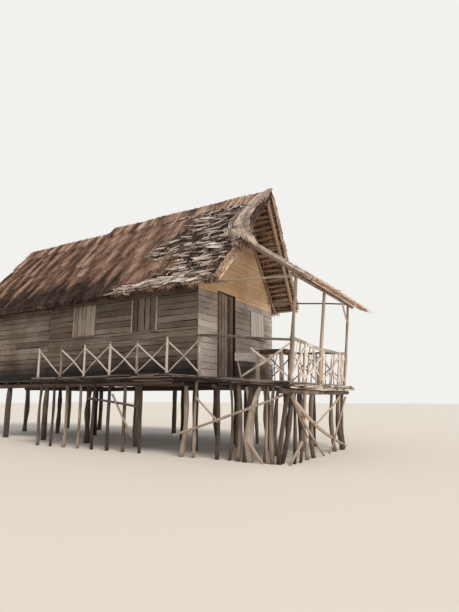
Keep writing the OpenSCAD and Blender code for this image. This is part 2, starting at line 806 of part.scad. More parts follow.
module porch_frame() {
    x_ledger = x_gable + ledger_r + seat;
    z_ledger = z_eave_pole + (x_eave_pole - x_ledger) * tan(porch_pitch)
        + (eave_pole_r - ledger_r) / cos(porch_pitch);
    x_low = x_eave_pole + 0.7 * porch_out;
    x_far = x_gable + far_verge_out + 160;
    middle_y = [y_mid - 400, y_mid, y_mid + 400];
    color("#a8948a") difference() {
        union() {
            eave_pole();
            for (y = middle_y) porch_pole([porch_back, y], [x_low, y]);
            porch_pole(porch_valley + [tuck, tuck], [x_low, y_outer]);
            porch_pole([x_far, y_far - pass_y(x_far) - tuck], [x_low, porch_end_y - tuck]);
            translate([x_ledger, middle_y[0] - tuck, z_ledger]) rotate([-90, 0, 0])
                cylinder(h = middle_y[2] - middle_y[0] + 2 * tuck, r = ledger_r);
            // Ties from the gable to the outer corners, and a strut at the far post
            pole([x_gable, y_near + 350, z_floor + 2050], [x_eave_pole, post_y[0] + 75, z_eave_pole],
                tie_r, tie_r);
            pole([x_gable, y_far - 150, z_floor + 2120], [x_eave_pole, post_y[2] - 75, z_eave_pole],
                tie_r, tie_r);
            pole([x_eave_pole, post_y[2] - 420, z_eave_pole],
                [x_eave_pole - 30, post_y[2], z_eave_pole - 400], tie_r, tie_r);
        }
        translate([x_gable + seat - big, -big / 2, 0]) cube(big);
        porch_posts(seat);
    }
}

module porch_thatch() {
    x_far = x_gable + far_verge_out + tuck;
    x_near = porch_valley[0] - 50;
    color("#c9ab8a") on_porch() linear_extrude(porch_t)
        polygon([[down(porch_back), y_near + pass_y(porch_back)],
            [down(porch_back), y_far - pass_y(porch_back)], [down(x_far), y_far - pass_y(x_far)],
            [down(x_eave_pole + porch_out), porch_end_y], [down(x_eave_pole + porch_out), y_outer - 60],
            [down(porch_valley[0]), porch_valley[1]], [down(x_near), y_near + pass_y(x_near)]]);
}

function mix(a, b, share) = a + (b - a) * share;

// A railing from the feet and tops of its posts, and each bay's kind: 0 open, 1 one stick,
// 2 crossed sticks, 3 a thick pole crossed by a thin stick. The feet in bare have no post.
module railing(feet, tops, bays, bare = []) {
    for (i = [0 : len(feet) - 1]) if (len(search(i, bare)) == 0)
        pole(mix(feet[i], tops[i], -0.1), mix(feet[i], tops[i], 1.02), post_r, 0.9 * post_r);
    for (i = [0 : len(bays) - 1]) {
        pole(tops[i], tops[i + 1], rail_r, rail_r);
        thick = bays[i] == 3 ? 1.5 * stick_r : stick_r;
        if (bays[i] > 1)
            pole(mix(feet[i], tops[i], 0.06), mix(feet[i + 1], tops[i + 1], 0.92), thick, thick);
        if (bays[i] > 0)
            pole(mix(feet[i], tops[i], 0.9), mix(feet[i + 1], tops[i + 1], 0.08), stick_r, stick_r);
    }
}

rail_y = y_outer + 40;
x_first_post = x_gable + first_post;
module walkway_railing() {
    x = [for (i = [walk_bays : -1 : 0]) x_first_post - (i + 1) * bay];
    color("#c9bda9") difference() {
        railing([for (v = x) [v, rail_y, z_floor]], [for (v = x) [v, rail_y, z_floor + rail_h]],
            [1, for (i = [2 : walk_bays]) 2]);
        translate([-big, -big, z_floor - big]) cube([2 * big, 2 * big, big]);
    }
}

// Starts at the walkway railing's last post
module terrace_front_railing() {
    x = [x_first_post - bay, x_first_post, x_first_post + open_bay,
        x_post - porch_post_r - post_r - 5];
    z_end = deck_z(x[3]) + rail_h;
    z_start = z_floor + rail_h;
    color("#c9bda9") difference() {
        railing([for (v = x) [v, rail_y, min(z_floor, deck_z(v))]],
            [for (v = x) [v, rail_y, mix(z_start, z_end, max(0, (v - x[1]) / (x[3] - x[1])))]],
            [2, 0, 2], [0]);
        translate([x[0], rail_y, z_floor - rail_h]) cylinder(h = 3 * rail_h, r = post_r + seat);
        under_deck();
    }
}

// Leans out with the porch posts, whose first and last stand for its end posts
module terrace_outer_railing() {
    y = [for (share = [0, 0.21, 0.53, 0.86, 1]) mix(post_y[0], post_y[2], share)];
    color("#d8cdbb") difference() {
        railing([for (v = y) [x_post, v, deck_z(x_post)]],
            [for (v = y) [x_outer + 10, v, deck_z(x_post) + rail_h]], [3, 3, 3, 2], [0, 4]);
        under_deck();
        porch_posts(seat);
    }
}

module terrace_far_railing() {
    x = [for (i = [3 : -1 : 0]) x_post - i * 0.8 * bay];
    color("#c9bda9") difference() {
        railing([for (v = x) [v, post_y[2], deck_z(v)]], [for (v = x) [v, post_y[2], deck_z(v) + rail_h]],
            [2, 2, 2], [3]);
        under_deck();
        porch_posts(seat);
    }
}

// Rough bench by the front railing: a seat of thin logs on two thick legs and three thin ones,
// with an apron board that runs on to one side
log_r = 34;
log_count = 5;
bench_h = 360;
module bench() {
    legs = [x_outer - 0.27 * terrace_l, x_outer - 0.087 * terrace_l];
    x_side = x_outer - 0.44 * terrace_l;
    y_front = y_outer + 0.135 * walk_w;
    y_rear = y_front + log_count * 2 * log_r;
    z_seat = z_floor + bench_h;
    color("#8f7458") difference() {
        union() {
            for (x = legs) {
                translate([x, y_front, z_floor - bench_h])
                    cylinder(h = 2 * bench_h, r = 1.1 * log_r);
                translate([x, y_rear, z_floor - bench_h])
                    cylinder(h = 2 * bench_h, r = 0.65 * log_r);
                translate([x, y_front - 30, z_seat - 45]) rotate([-90, 0, 0])
                    cylinder(h = y_rear - y_front + 60, r = 0.65 * log_r);
            }
            for (i = [0 : log_count - 1])
                translate([legs[0] - 60, y_front + (2 * i + 0.6) * log_r, z_seat]) rotate([0, 90, 0])
                    cylinder(h = legs[1] - legs[0] + 120 + 25 * (i % 2), r = log_r - 1);
            translate([x_side, y_front - 12, z_seat - 120]) cube([legs[0] - x_side, 24, 110]);
            translate([x_side + 30, y_front, z_floor - bench_h])
                cylinder(h = 2 * bench_h - 50, r = 0.6 * log_r);
        }
        under_deck();
    }
}

near_stilts();
middle_stilts();
far_stilts();
walkway_stilts();
terrace_stilts();
stilt_braces();
house_bearers();
floor_joists();
house_floor();
terrace_bearers();
terrace_stringers();
walkway_deck();
terrace_deck();
deck_edge_poles();
near_wall();
far_wall();
annex_walls();
rear_gable_wall();
gable_panels();
front_gable();
wall_posts();
wall_plates();
door_frame();
door_pintles();
door_planks();
door_straps();
long_wall_shutters();
gable_shutter();
ridge_pole();
near_rafters();
far_rafters();
near_battens();
far_battens();
near_thatch();
far_thatch();
annex_thatch();
ridge_cap();
porch_posts();
porch_frame();
porch_thatch();
walkway_railing();
terrace_front_railing();
terrace_outer_railing();
terrace_far_railing();
bench();
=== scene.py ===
"""Dresses the thatched beach house on stilts over its CAD frame."""

from __future__ import annotations

import logging
import math
from dataclasses import dataclass, field
from enum import Enum
from functools import cache
from typing import Any, Callable, Sequence

import bpy
import numpy as np
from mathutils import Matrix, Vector


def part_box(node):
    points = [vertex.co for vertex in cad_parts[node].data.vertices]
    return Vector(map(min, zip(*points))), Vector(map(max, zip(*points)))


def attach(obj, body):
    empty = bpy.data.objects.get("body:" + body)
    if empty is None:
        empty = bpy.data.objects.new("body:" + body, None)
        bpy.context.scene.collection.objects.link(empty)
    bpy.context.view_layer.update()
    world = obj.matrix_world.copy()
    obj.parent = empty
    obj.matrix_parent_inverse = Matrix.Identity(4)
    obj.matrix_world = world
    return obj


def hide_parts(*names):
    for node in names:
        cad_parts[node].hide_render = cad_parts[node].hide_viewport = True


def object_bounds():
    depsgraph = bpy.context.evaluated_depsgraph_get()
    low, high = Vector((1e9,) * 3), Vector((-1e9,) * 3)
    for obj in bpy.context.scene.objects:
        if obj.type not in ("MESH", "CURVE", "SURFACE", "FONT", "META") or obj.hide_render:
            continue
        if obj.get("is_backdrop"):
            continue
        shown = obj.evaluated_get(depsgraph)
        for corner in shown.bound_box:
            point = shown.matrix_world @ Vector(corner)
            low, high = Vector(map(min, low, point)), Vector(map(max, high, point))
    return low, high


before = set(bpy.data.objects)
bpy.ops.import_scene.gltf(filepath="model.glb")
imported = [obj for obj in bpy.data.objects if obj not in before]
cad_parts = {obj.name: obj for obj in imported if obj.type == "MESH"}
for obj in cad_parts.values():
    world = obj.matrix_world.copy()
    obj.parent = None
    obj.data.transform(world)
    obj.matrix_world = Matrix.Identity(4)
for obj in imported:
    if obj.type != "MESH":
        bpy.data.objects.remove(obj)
log = logging.getLogger("beach_house")

HOUSE = "house"
DOOR = "door"
Array, Tree, Node, Socket = np.ndarray, bpy.types.NodeTree, bpy.types.Node, bpy.types.NodeSocket
Pair, Triple = tuple[float, float], tuple[float, float, float]


def vec(*parts: float) -> Array:
    """A point or direction as an array of floats."""
    return np.array(parts, float)


def unit(v: Array) -> Array:
    """The direction or directions v, made one metre long."""
    return v / np.linalg.norm(v, axis=-1, keepdims=True)


def mix(a: Any, b: Any, share: Any) -> Any:
    """The value at that share of the way from a to b."""
    return a + (b - a) * share


@dataclass(frozen=True)
class Plan:
    """The house's main sizes in metres, as the CAD model has them: x_ is a place along the ridge, y_ one across it."""

    x_gable: float = 0.11
    y_near: float = -0.11
    y_far: float = 3.49
    x_seam: float = -4.59
    x_end: float = -7.89
    z_floor: float = 1.5
    z_plate: float = 3.53
    annex_drop: float = 0.10
    annex_short: float = 0.12
    board: float = 0.025
    x_outer: float = 2.585
    y_outer: float = -1.03
    y_back: float = 2.05
    x_walk: float = -3.89
    x_roof_seam: float = -4.24
    rear_out: float = 0.25
    sag: float = 0.16 / 2.475
    pitch: float = math.radians(51.3)
    eave_out: float = 0.2
    z_face: float = 3.6813
    thatch_low: float = 0.08
    course_rise: float = 0.04
    cap_reach: float = 0.24
    courses: int = 11
    ridge_out: float = 0.93
    far_out: float = 0.70
    near_out: float = 0.57
    porch_pitch: float = math.radians(35.5)
    porch_z: float = 3.2
    x_eave_pole: float = 2.71
    eave_pole_r: float = 0.036
    porch_rafter_r: float = 0.0283
    x_lip: float = 3.01
    rail_h: float = 0.68
    bay: float = 0.756
    first_post: float = 0.77
    sill: float = 1.04
    window: Pair = (0.70, 0.74)
    window_x: Pair = (1.12, 3.07)

    @property
    def y_mid(self) -> float:
        """The ridge's place across the house."""
        return (self.y_near + self.y_far) / 2

    @property
    def z_apex(self) -> float:
        """Height at which the two slopes' thatch undersides meet."""
        return self.z_face + math.tan(self.pitch) * (self.y_far - self.y_near) / 2

    @property
    def slope(self) -> float:
        """Length of a slope from the apex to the eave."""
        return ((self.y_far - self.y_near) / 2 + self.eave_out) / math.cos(self.pitch)

    @property
    def rail_y(self) -> float:
        """The front railing's place across the house."""
        return self.y_outer + 0.04

    @property
    def porch_tilt(self) -> Pair:
        """Cosine and sine of the porch roof's pitch."""
        return math.cos(self.porch_pitch), math.sin(self.porch_pitch)

    @property
    def porch_seat(self) -> float:
        """Height of the porch thatch's underside over the eave pole's middle, square to the roof."""
        return self.eave_pole_r + 2 * self.porch_rafter_r

    @property
    def z_eave_pole(self) -> float:
        """Height of the porch eave pole's middle."""
        return self.porch_z - self.porch_seat / self.porch_tilt[0]

    @property
    def post_y(self) -> Triple:
        """Places of the three porch posts across the terrace."""
        deck = self.y_back - self.y_outer
        return self.y_outer + 0.045, self.y_outer + 0.477 * deck, self.y_back - 0.045

    def length_down(self, drop: float) -> float:
        """Length of a slope, which is shorter on the annex, where the roof has a drop."""
        return self.slope - (self.annex_short if drop else 0.0)

    def deck_z(self, x: Any) -> Any:
        """Level of the sagging terrace's top at x."""
        return self.z_floor - self.board - (x - self.x_gable) * self.sag

    def on_slope(self, side: int, x: Any, s: Any, h: Any, drop: float = 0.0) -> Array:
        """A point of the main roof.

        Args:
            side: 1 for near, -1 for far.
            x: place along the ridge.
            s: distance down from the ridge along the thatch's underside.
            h: height out of that underside.
            drop: step down of the annex's roof.

        Returns:
            The points, one to a row.
        """
        c, t = math.cos(self.pitch), math.sin(self.pitch)
        x, s, h = np.broadcast_arrays(np.asarray(x, float), s, h)
        return np.stack([x, self.y_mid - side * (s * c + h * t), self.z_apex - drop - s * t + h * c], -1)

    def slope_axes(self, side: int) -> tuple[Array, Array]:
        """Directions down a slope and out of it."""
        c, t = math.cos(self.pitch), math.sin(self.pitch)
        return vec(0, -side * c, -t), vec(0, -side * t, c)

    def thatch_top(self, s: Any) -> Any:
        """Height of the CAD thatch's top, course by course.

        Args:
            s: distance down the slope.

        Returns:
            The height over the thatch's underside.
        """
        step = (self.slope - self.cap_reach) / self.courses
        rise = np.where(s > self.cap_reach, ((s - self.cap_reach) / step) % 1.0, 0.0)
        return self.thatch_low + self.course_rise * rise

    def verge(self, side: int, s: Any) -> Any:
        """Place of a slope's front edge along X.

        Args:
            side: 1 for the near slope, whose edge is cut back and flares, and -1 for the far one.
            s: distance down the slope.

        Returns:
            The edge's X at each s.
        """
        if side < 0:
            return self.x_gable + np.interp(s, [0, self.slope], [self.ridge_out, self.far_out])
        o, n = self.ridge_out, self.near_out
        outs = [o, o - 0.16, o - 0.19, o - 0.05, o + 0.2, n + 0.15, n]
        return self.x_gable + np.interp(s / self.slope, [0, 0.17, 0.33, 0.41, 0.60, 0.66, 1.0], outs)

    def on_porch(self, u: Any, y: Any, h: Any) -> Array:
        """A point of the porch roof.

        Args:
            u: distance down from the outer posts' line.
            y: place across the house.
            h: height over the roof's underside.

        Returns:
            The points, one to a row.
        """
        c, t = self.porch_tilt
        u, y, h = np.broadcast_arrays(np.asarray(u, float), y, h)
        out = self.porch_seat + h
        return np.stack([self.x_eave_pole + u * c + out * t, y, self.z_eave_pole - u * t + out * c], -1)

    def porch_down(self, x: Any) -> Any:
        """Distance down the porch roof of a point at x."""
        return (x - self.x_eave_pole) / self.porch_tilt[0]

    def porch_at(self, x: Any, y: Any, h: Any) -> Array:
        """A point of the porch roof, given by its place along the house and across it."""
        return self.on_porch(self.porch_down(x), y, h)

    def porch_axes(self) -> tuple[Array, Array]:
        """Directions down the porch roof and out of it."""
        c, t = self.porch_tilt
        return vec(c, 0, -t), vec(t, 0, c)

    def porch_sides(self, x: Any) -> tuple[Any, Any]:
        """Near and far edge of the porch roof along Y at x."""
        near = np.interp(x, [0.17, 0.85, 0.90, self.x_lip], [1.198, 0.809, 0.49, -1.09])
        return near, np.interp(x, [0.17, 0.87, self.x_lip], [2.182, 2.582, 2.48])


PLAN = Plan()


def linear(colour: str) -> tuple[float, float, float, float]:
    """Turns a colour linear.

    Args:
        colour: sRGB hex, such as "#7d6f5f".

    Returns:
        Blender's linear red, green, blue and alpha.
    """
    parts = [int(colour[i : i + 2], 16) / 255 for i in (1, 3, 5)]
    flat = [p / 12.92 if p <= 0.04045 else ((p + 0.055) / 1.055) ** 2.4 for p in parts]
    return flat[0], flat[1], flat[2], 1.0


def add(tree: Tree, kind: str, inputs: dict[Any, Any] | None = None, **settings: Any) -> Node:
    """Adds a node with its settings and links.

    Args:
        tree: its node tree.
        kind: Blender's name of the node, without its common first word.
        inputs: for each input, by name or number, a value, a socket or a node whose first output it takes.
        settings: the node's own properties.

    Returns:
        The new node.
    """
    made = tree.nodes.new(f"ShaderNode{kind}")
    for key, value in settings.items():
        setattr(made, key, value)
    for key, value in (inputs or {}).items():
        value = value.outputs[0] if isinstance(value, Node) else value
        if isinstance(value, Socket):
            tree.links.new(value, made.inputs[key])
        else:
            made.inputs[key].default_value = value
    return made


def ramp(tree: Tree, factor: Any, stops: Sequence[tuple[float, str]]) -> Node:
    """Adds a colour ramp.

    Args:
        tree: its node tree.
        factor: what it reads.
        stops: place and sRGB colour of each stop.

    Returns:
        The ramp.
    """
    made = add(tree, "ValToRGB", {"Fac": factor})
    bar = made.color_ramp.elements
    while len(bar) < len(stops):
        bar.new(0.5)
    for element, (place, colour) in zip(bar, stops):
        element.position = place
        element.color = linear(colour)
    return made


def fresh(name: str) -> tuple[bpy.types.Material, Tree]:
    """Makes a material with an empty node tree.

    Args:
        name: the material's name.

    Returns:
        The material and its tree.
    """
    material = bpy.data.materials.new(name)
    material.use_nodes = True
    material.node_tree.nodes.clear()
    return material, material.node_tree


def close(
    tree: Tree, colour: Any, rough: Any, height: Any, relief_mm: float, sheen: float = 0.0, metal: float = 0.0
) -> None:
    """Ends a material with its shader and a bump.

    Args:
        tree: its node tree.
        colour, rough: what its shader gets.
        height: the socket that the bump reads.
        relief_mm: the bump's relief in millimetres.
        sheen, metal: weights of the shader.
    """
    bump = add(tree, "Bump", {"Strength": 0.9, "Distance": relief_mm / 1000, "Height": height})
    inputs = {"Base Color": colour, "Roughness": rough, "Normal": bump, "Sheen Weight": sheen, "Metallic": metal}
    add(tree, "OutputMaterial", {"Surface": add(tree, "BsdfPrincipled", inputs)})


class Grain(Enum):
    """What a material's grain follows."""

    PIECE = "the piece's own UV map, metres along V"
    ALONG_X = "X of the object"
    ALONG_Y = "Y of the object"
    ALONG_Z = "Z of the object"


@dataclass(frozen=True)
class Wood:
    """Unpainted wood bleached and cracked by sun and salt: matt and grey, with dark checks along its grain."""

    slot: str
    name: str
    light: str
    body: str
    dark: str
    crack: str
    grain: Grain = Grain.PIECE
    fibre_mm: float = 9.0
    streak_mm: float = 260.0
    spread: float = 0.5
    checks: float = 0.55
    relief_mm: float = 2.5
    board_mm: float = 0.0
    rim: float = 0.0
    stain: str = ""
    foot_m: float = 0.0

    def build(self) -> bpy.types.Material:
        """Makes the material: fibres, each piece's own tone, then cracks, stains, dirt and painted shade over them.

        Returns:
            The wood's material.
        """
        material, tree = fresh(self.name)
        coords = add(tree, "TexCoord")
        along, across = 1000 / self.streak_mm, 1000 / self.fibre_mm
        if self.grain is Grain.PIECE:
            place, scale = coords.outputs["UV"], (across, along, 1.0)
        else:
            place = coords.outputs["Object"]
            scale = tuple(along if axis == self.grain.name[-1] else across for axis in "XYZ")
        fibres = add(tree, "Mapping", {"Vector": place, "Scale": scale})
        fine = add(tree, "TexNoise", {"Vector": fibres, "Scale": 1.0, "Detail": 6.0, "Roughness": 0.62})
        body = {"Vector": coords.outputs["Object"]}
        broad = add(tree, "TexNoise", {**body, "Scale": 1.3, "Detail": 3.0, "Roughness": 0.6})
        tint = add(tree, "Attribute", attribute_name="tint")
        tone = add(tree, "Math", {0: fine, 1: 0.75, 2: -0.06}, operation="MULTIPLY_ADD")
        for source, weight in ((tint.outputs["Fac"], self.spread), (broad, 0.45)):
            tone = add(tree, "Math", {0: source, 1: weight, 2: tone}, operation="MULTIPLY_ADD")
        middle = 0.52 + 0.5 * self.spread
        stops = [(middle - 0.28, self.dark), (middle, self.body), (min(middle + 0.26, 1.0), self.light)]
        colour = ramp(tree, tone, stops)
        splits = add(tree, "Mapping", {"Vector": fibres, "Scale": (0.55, 0.45, 0.55)})
        check = add(tree, "TexNoise", {"Vector": splits, "Scale": 1.0, "Detail": 3.0, "Roughness": 0.5})
        line = self._range(tree, check, 0.30, 0.40, self.checks, 0.0)
        for factor, over in [(line, self.crack), *self._weather(tree, body, broad)]:
            layer = {"Factor": factor, 6: colour, 7: linear(over)}
            colour = add(tree, "Mix", layer, data_type="RGBA").outputs[2]
        height = add(tree, "Math", {0: fine, 1: line}, operation="SUBTRACT")
        if self.board_mm:
            colour, height = self._joints(tree, coords, colour, height)
        close(tree, colour, 0.88, height, self.relief_mm)
        return material

    @staticmethod
    def _range(tree: Tree, value: Any, low: float, high: float, start: Any, end: Any) -> Node:
        """Turns the range from low to high into the one from start to end."""
        ends = {"From Min": low, "From Max": high, "To Min": start, "To Max": end}
        return add(tree, "MapRange", {"Value": value, **ends})

    def _weather(self, tree: Tree, body: dict[str, Any], broad: Any) -> list[tuple[Any, str]]:
        """Makes the masks of what lies over the wood.

        Args:
            tree: its node tree.
            body: the noise input that reads the house's own coordinates.
            broad: the socket of the broad patches.

        Returns:
            A factor's socket and a colour for each layer: brown stains, board edges darkened with painted shade and
            grime, and a foot darkened with painted shadow and damp.
        """
        layers = []
        if self.stain:
            spots = add(tree, "TexNoise", {**body, "Scale": 0.9, "Detail": 4.0, "Roughness": 0.6})
            layers.append((self._range(tree, spots, 0.46, 0.66, 0.0, 0.55), self.stain))
        # Boards are darkened towards their edges: painted shade in the laps between boards, together with some grime.
        if self.rim:
            share = add(tree, "Attribute", attribute_name="share")
            fade = add(tree, "TexNoise", {**body, "Scale": 2.1, "Detail": 2.0})
            deep = self._range(tree, fade, 0.4, 0.58, 0.3 * self.rim, self.rim)
            layers.append((self._range(tree, share.outputs["Fac"], 0.82, 0.95, 0.0, deep), self.crack))
        # The walls' foot is darkened towards near black: painted shadow at the foot together with damp dirt, strongest
        # on the near wall.
        if self.foot_m:
            axes = add(tree, "SeparateXYZ", {0: body["Vector"]}).outputs
            ragged = add(tree, "Math", {0: broad, 1: 0.5, 2: axes["Z"]}, operation="MULTIPLY_ADD")
            foot_shadow_and_damp = self._range(tree, ragged, self.foot_m + 0.18, self.foot_m + 0.58, 0.94, 0.0)
            near = self._range(tree, axes["Y"], PLAN.y_near, PLAN.y_near + 0.1, 1.0, 0.55)
            much = add(tree, "Math", {0: foot_shadow_and_damp, 1: near}, operation="MULTIPLY")
            layers.append((much, "#0d0907"))
        return layers

    def _joints(self, tree: Tree, coords: Node, colour: Any, height: Any) -> tuple[Any, Any]:
        """Adds the dark joints between boards that lie along X on a CAD solid.

        Args:
            tree: its node tree.
            coords: its coordinates.
            colour, height: the wood's sockets.

        Returns:
            The same sockets with the joints.
        """
        axes = add(tree, "SeparateXYZ", {0: coords.outputs["Object"]})
        row = add(tree, "Math", {0: axes.outputs["Y"], 1: 1000 / self.board_mm}, operation="MULTIPLY")
        part = add(tree, "Math", {0: row}, operation="FRACT")
        gap = add(tree, "Math", {0: part, 1: 0.05}, operation="LESS_THAN")
        dark = add(tree, "Mix", {"Factor": gap, 6: colour, 7: linear("#1d1712")}, data_type="RGBA")
        low = add(tree, "Math", {0: height, 1: gap}, operation="SUBTRACT")
        return dark.outputs[2], low


@dataclass(frozen=True)
class Thatch:
    """Dry palm leaf and grass in bundles: matt straw that greys and pales with age, finely streaked along each leaf."""

    slot: str
    name: str
    stops: tuple[tuple[float, str], ...]
    fibre_mm: float = 5.0
    streak_mm: float = 180.0
    relief_mm: float = 4.0

    def build(self) -> bpy.types.Material:
        """Makes the material: its tint is each bundle's own, darker at its root as painted shade where it comes out
        from under the leaves above.

        Returns:
            The thatch's material.
        """
        material, tree = fresh(self.name)
        coords = add(tree, "TexCoord")
        scale = (1000 / self.fibre_mm, 1000 / self.streak_mm, 1)
        fibres = add(tree, "Mapping", {"Vector": coords.outputs["UV"], "Scale": scale})
        fine = add(tree, "TexNoise", {"Vector": fibres, "Scale": 1.0, "Detail": 4.0, "Roughness": 0.6})
        body = {"Vector": coords.outputs["Object"]}
        patch = add(tree, "TexNoise", {**body, "Scale": 2.2, "Detail": 4.0, "Roughness": 0.65})
        level = add(tree, "Attribute", attribute_name="tint").outputs["Fac"]
        share = add(tree, "Attribute", attribute_name="share").outputs["Fac"]
        # The share term darkens each leaf towards its root: painted shade where it comes out from under the leaves
        # above.
        for source, weight in ((fine, 0.36), (patch, 0.34), (share, 0.16)):
            level = add(tree, "Math", {0: source, 1: weight, 2: level}, operation="MULTIPLY_ADD")
        level = add(tree, "Math", {0: level, 1: 0.42}, operation="SUBTRACT")
        close(tree, ramp(tree, level, self.stops), 0.93, fine, self.relief_mm, sheen=0.12)
        return material


@dataclass(frozen=True)
class ThatchBed:
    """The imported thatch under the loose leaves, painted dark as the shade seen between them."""

    slot: str
    name: str
    dark: str
    light: str

    def build(self) -> bpy.types.Material:
        """Makes the material, with fibres of about 12 mm down the slope, coarser than real so that they show.

        Returns:
            The bed's material.
        """
        material, tree = fresh(self.name)
        coords = add(tree, "TexCoord")
        fibres = add(tree, "Mapping", {"Vector": coords.outputs["Object"], "Scale": (83.0, 6.0, 6.0)})
        fine = add(tree, "TexNoise", {"Vector": fibres, "Scale": 1.0, "Detail": 5.0, "Roughness": 0.65})
        colour = ramp(tree, fine, [(0.35, self.dark), (0.68, self.light)])
        close(tree, colour, 0.95, fine, 8.0, sheen=0.1)
        return material


@dataclass(frozen=True)
class Iron:
    """Forged iron rusted right through by salt air: brown scale with orange bloom."""

    slot: str = "rusty_iron"
    name: str = "rusted_forged_iron"

    def build(self) -> bpy.types.Material:
        """Makes the material: scale of about 4 mm, with pits.

        Returns:
            The iron's material.
        """
        material, tree = fresh(self.name)
        body = {"Vector": add(tree, "TexCoord").outputs["Object"]}
        scale = add(tree, "TexNoise", {**body, "Scale": 250.0, "Detail": 5.0, "Roughness": 0.7})
        bloom = add(tree, "TexNoise", {**body, "Scale": 30.0, "Detail": 3.0})
        both = add(tree, "Math", {0: scale, 1: bloom}, operation="MULTIPLY")
        colour = ramp(tree, both, [(0.12, "#2a1a12"), (0.27, "#5b3420"), (0.42, "#8a4f2a")])
        close(tree, colour, 0.82, scale, 0.8, metal=0.25)
        return material


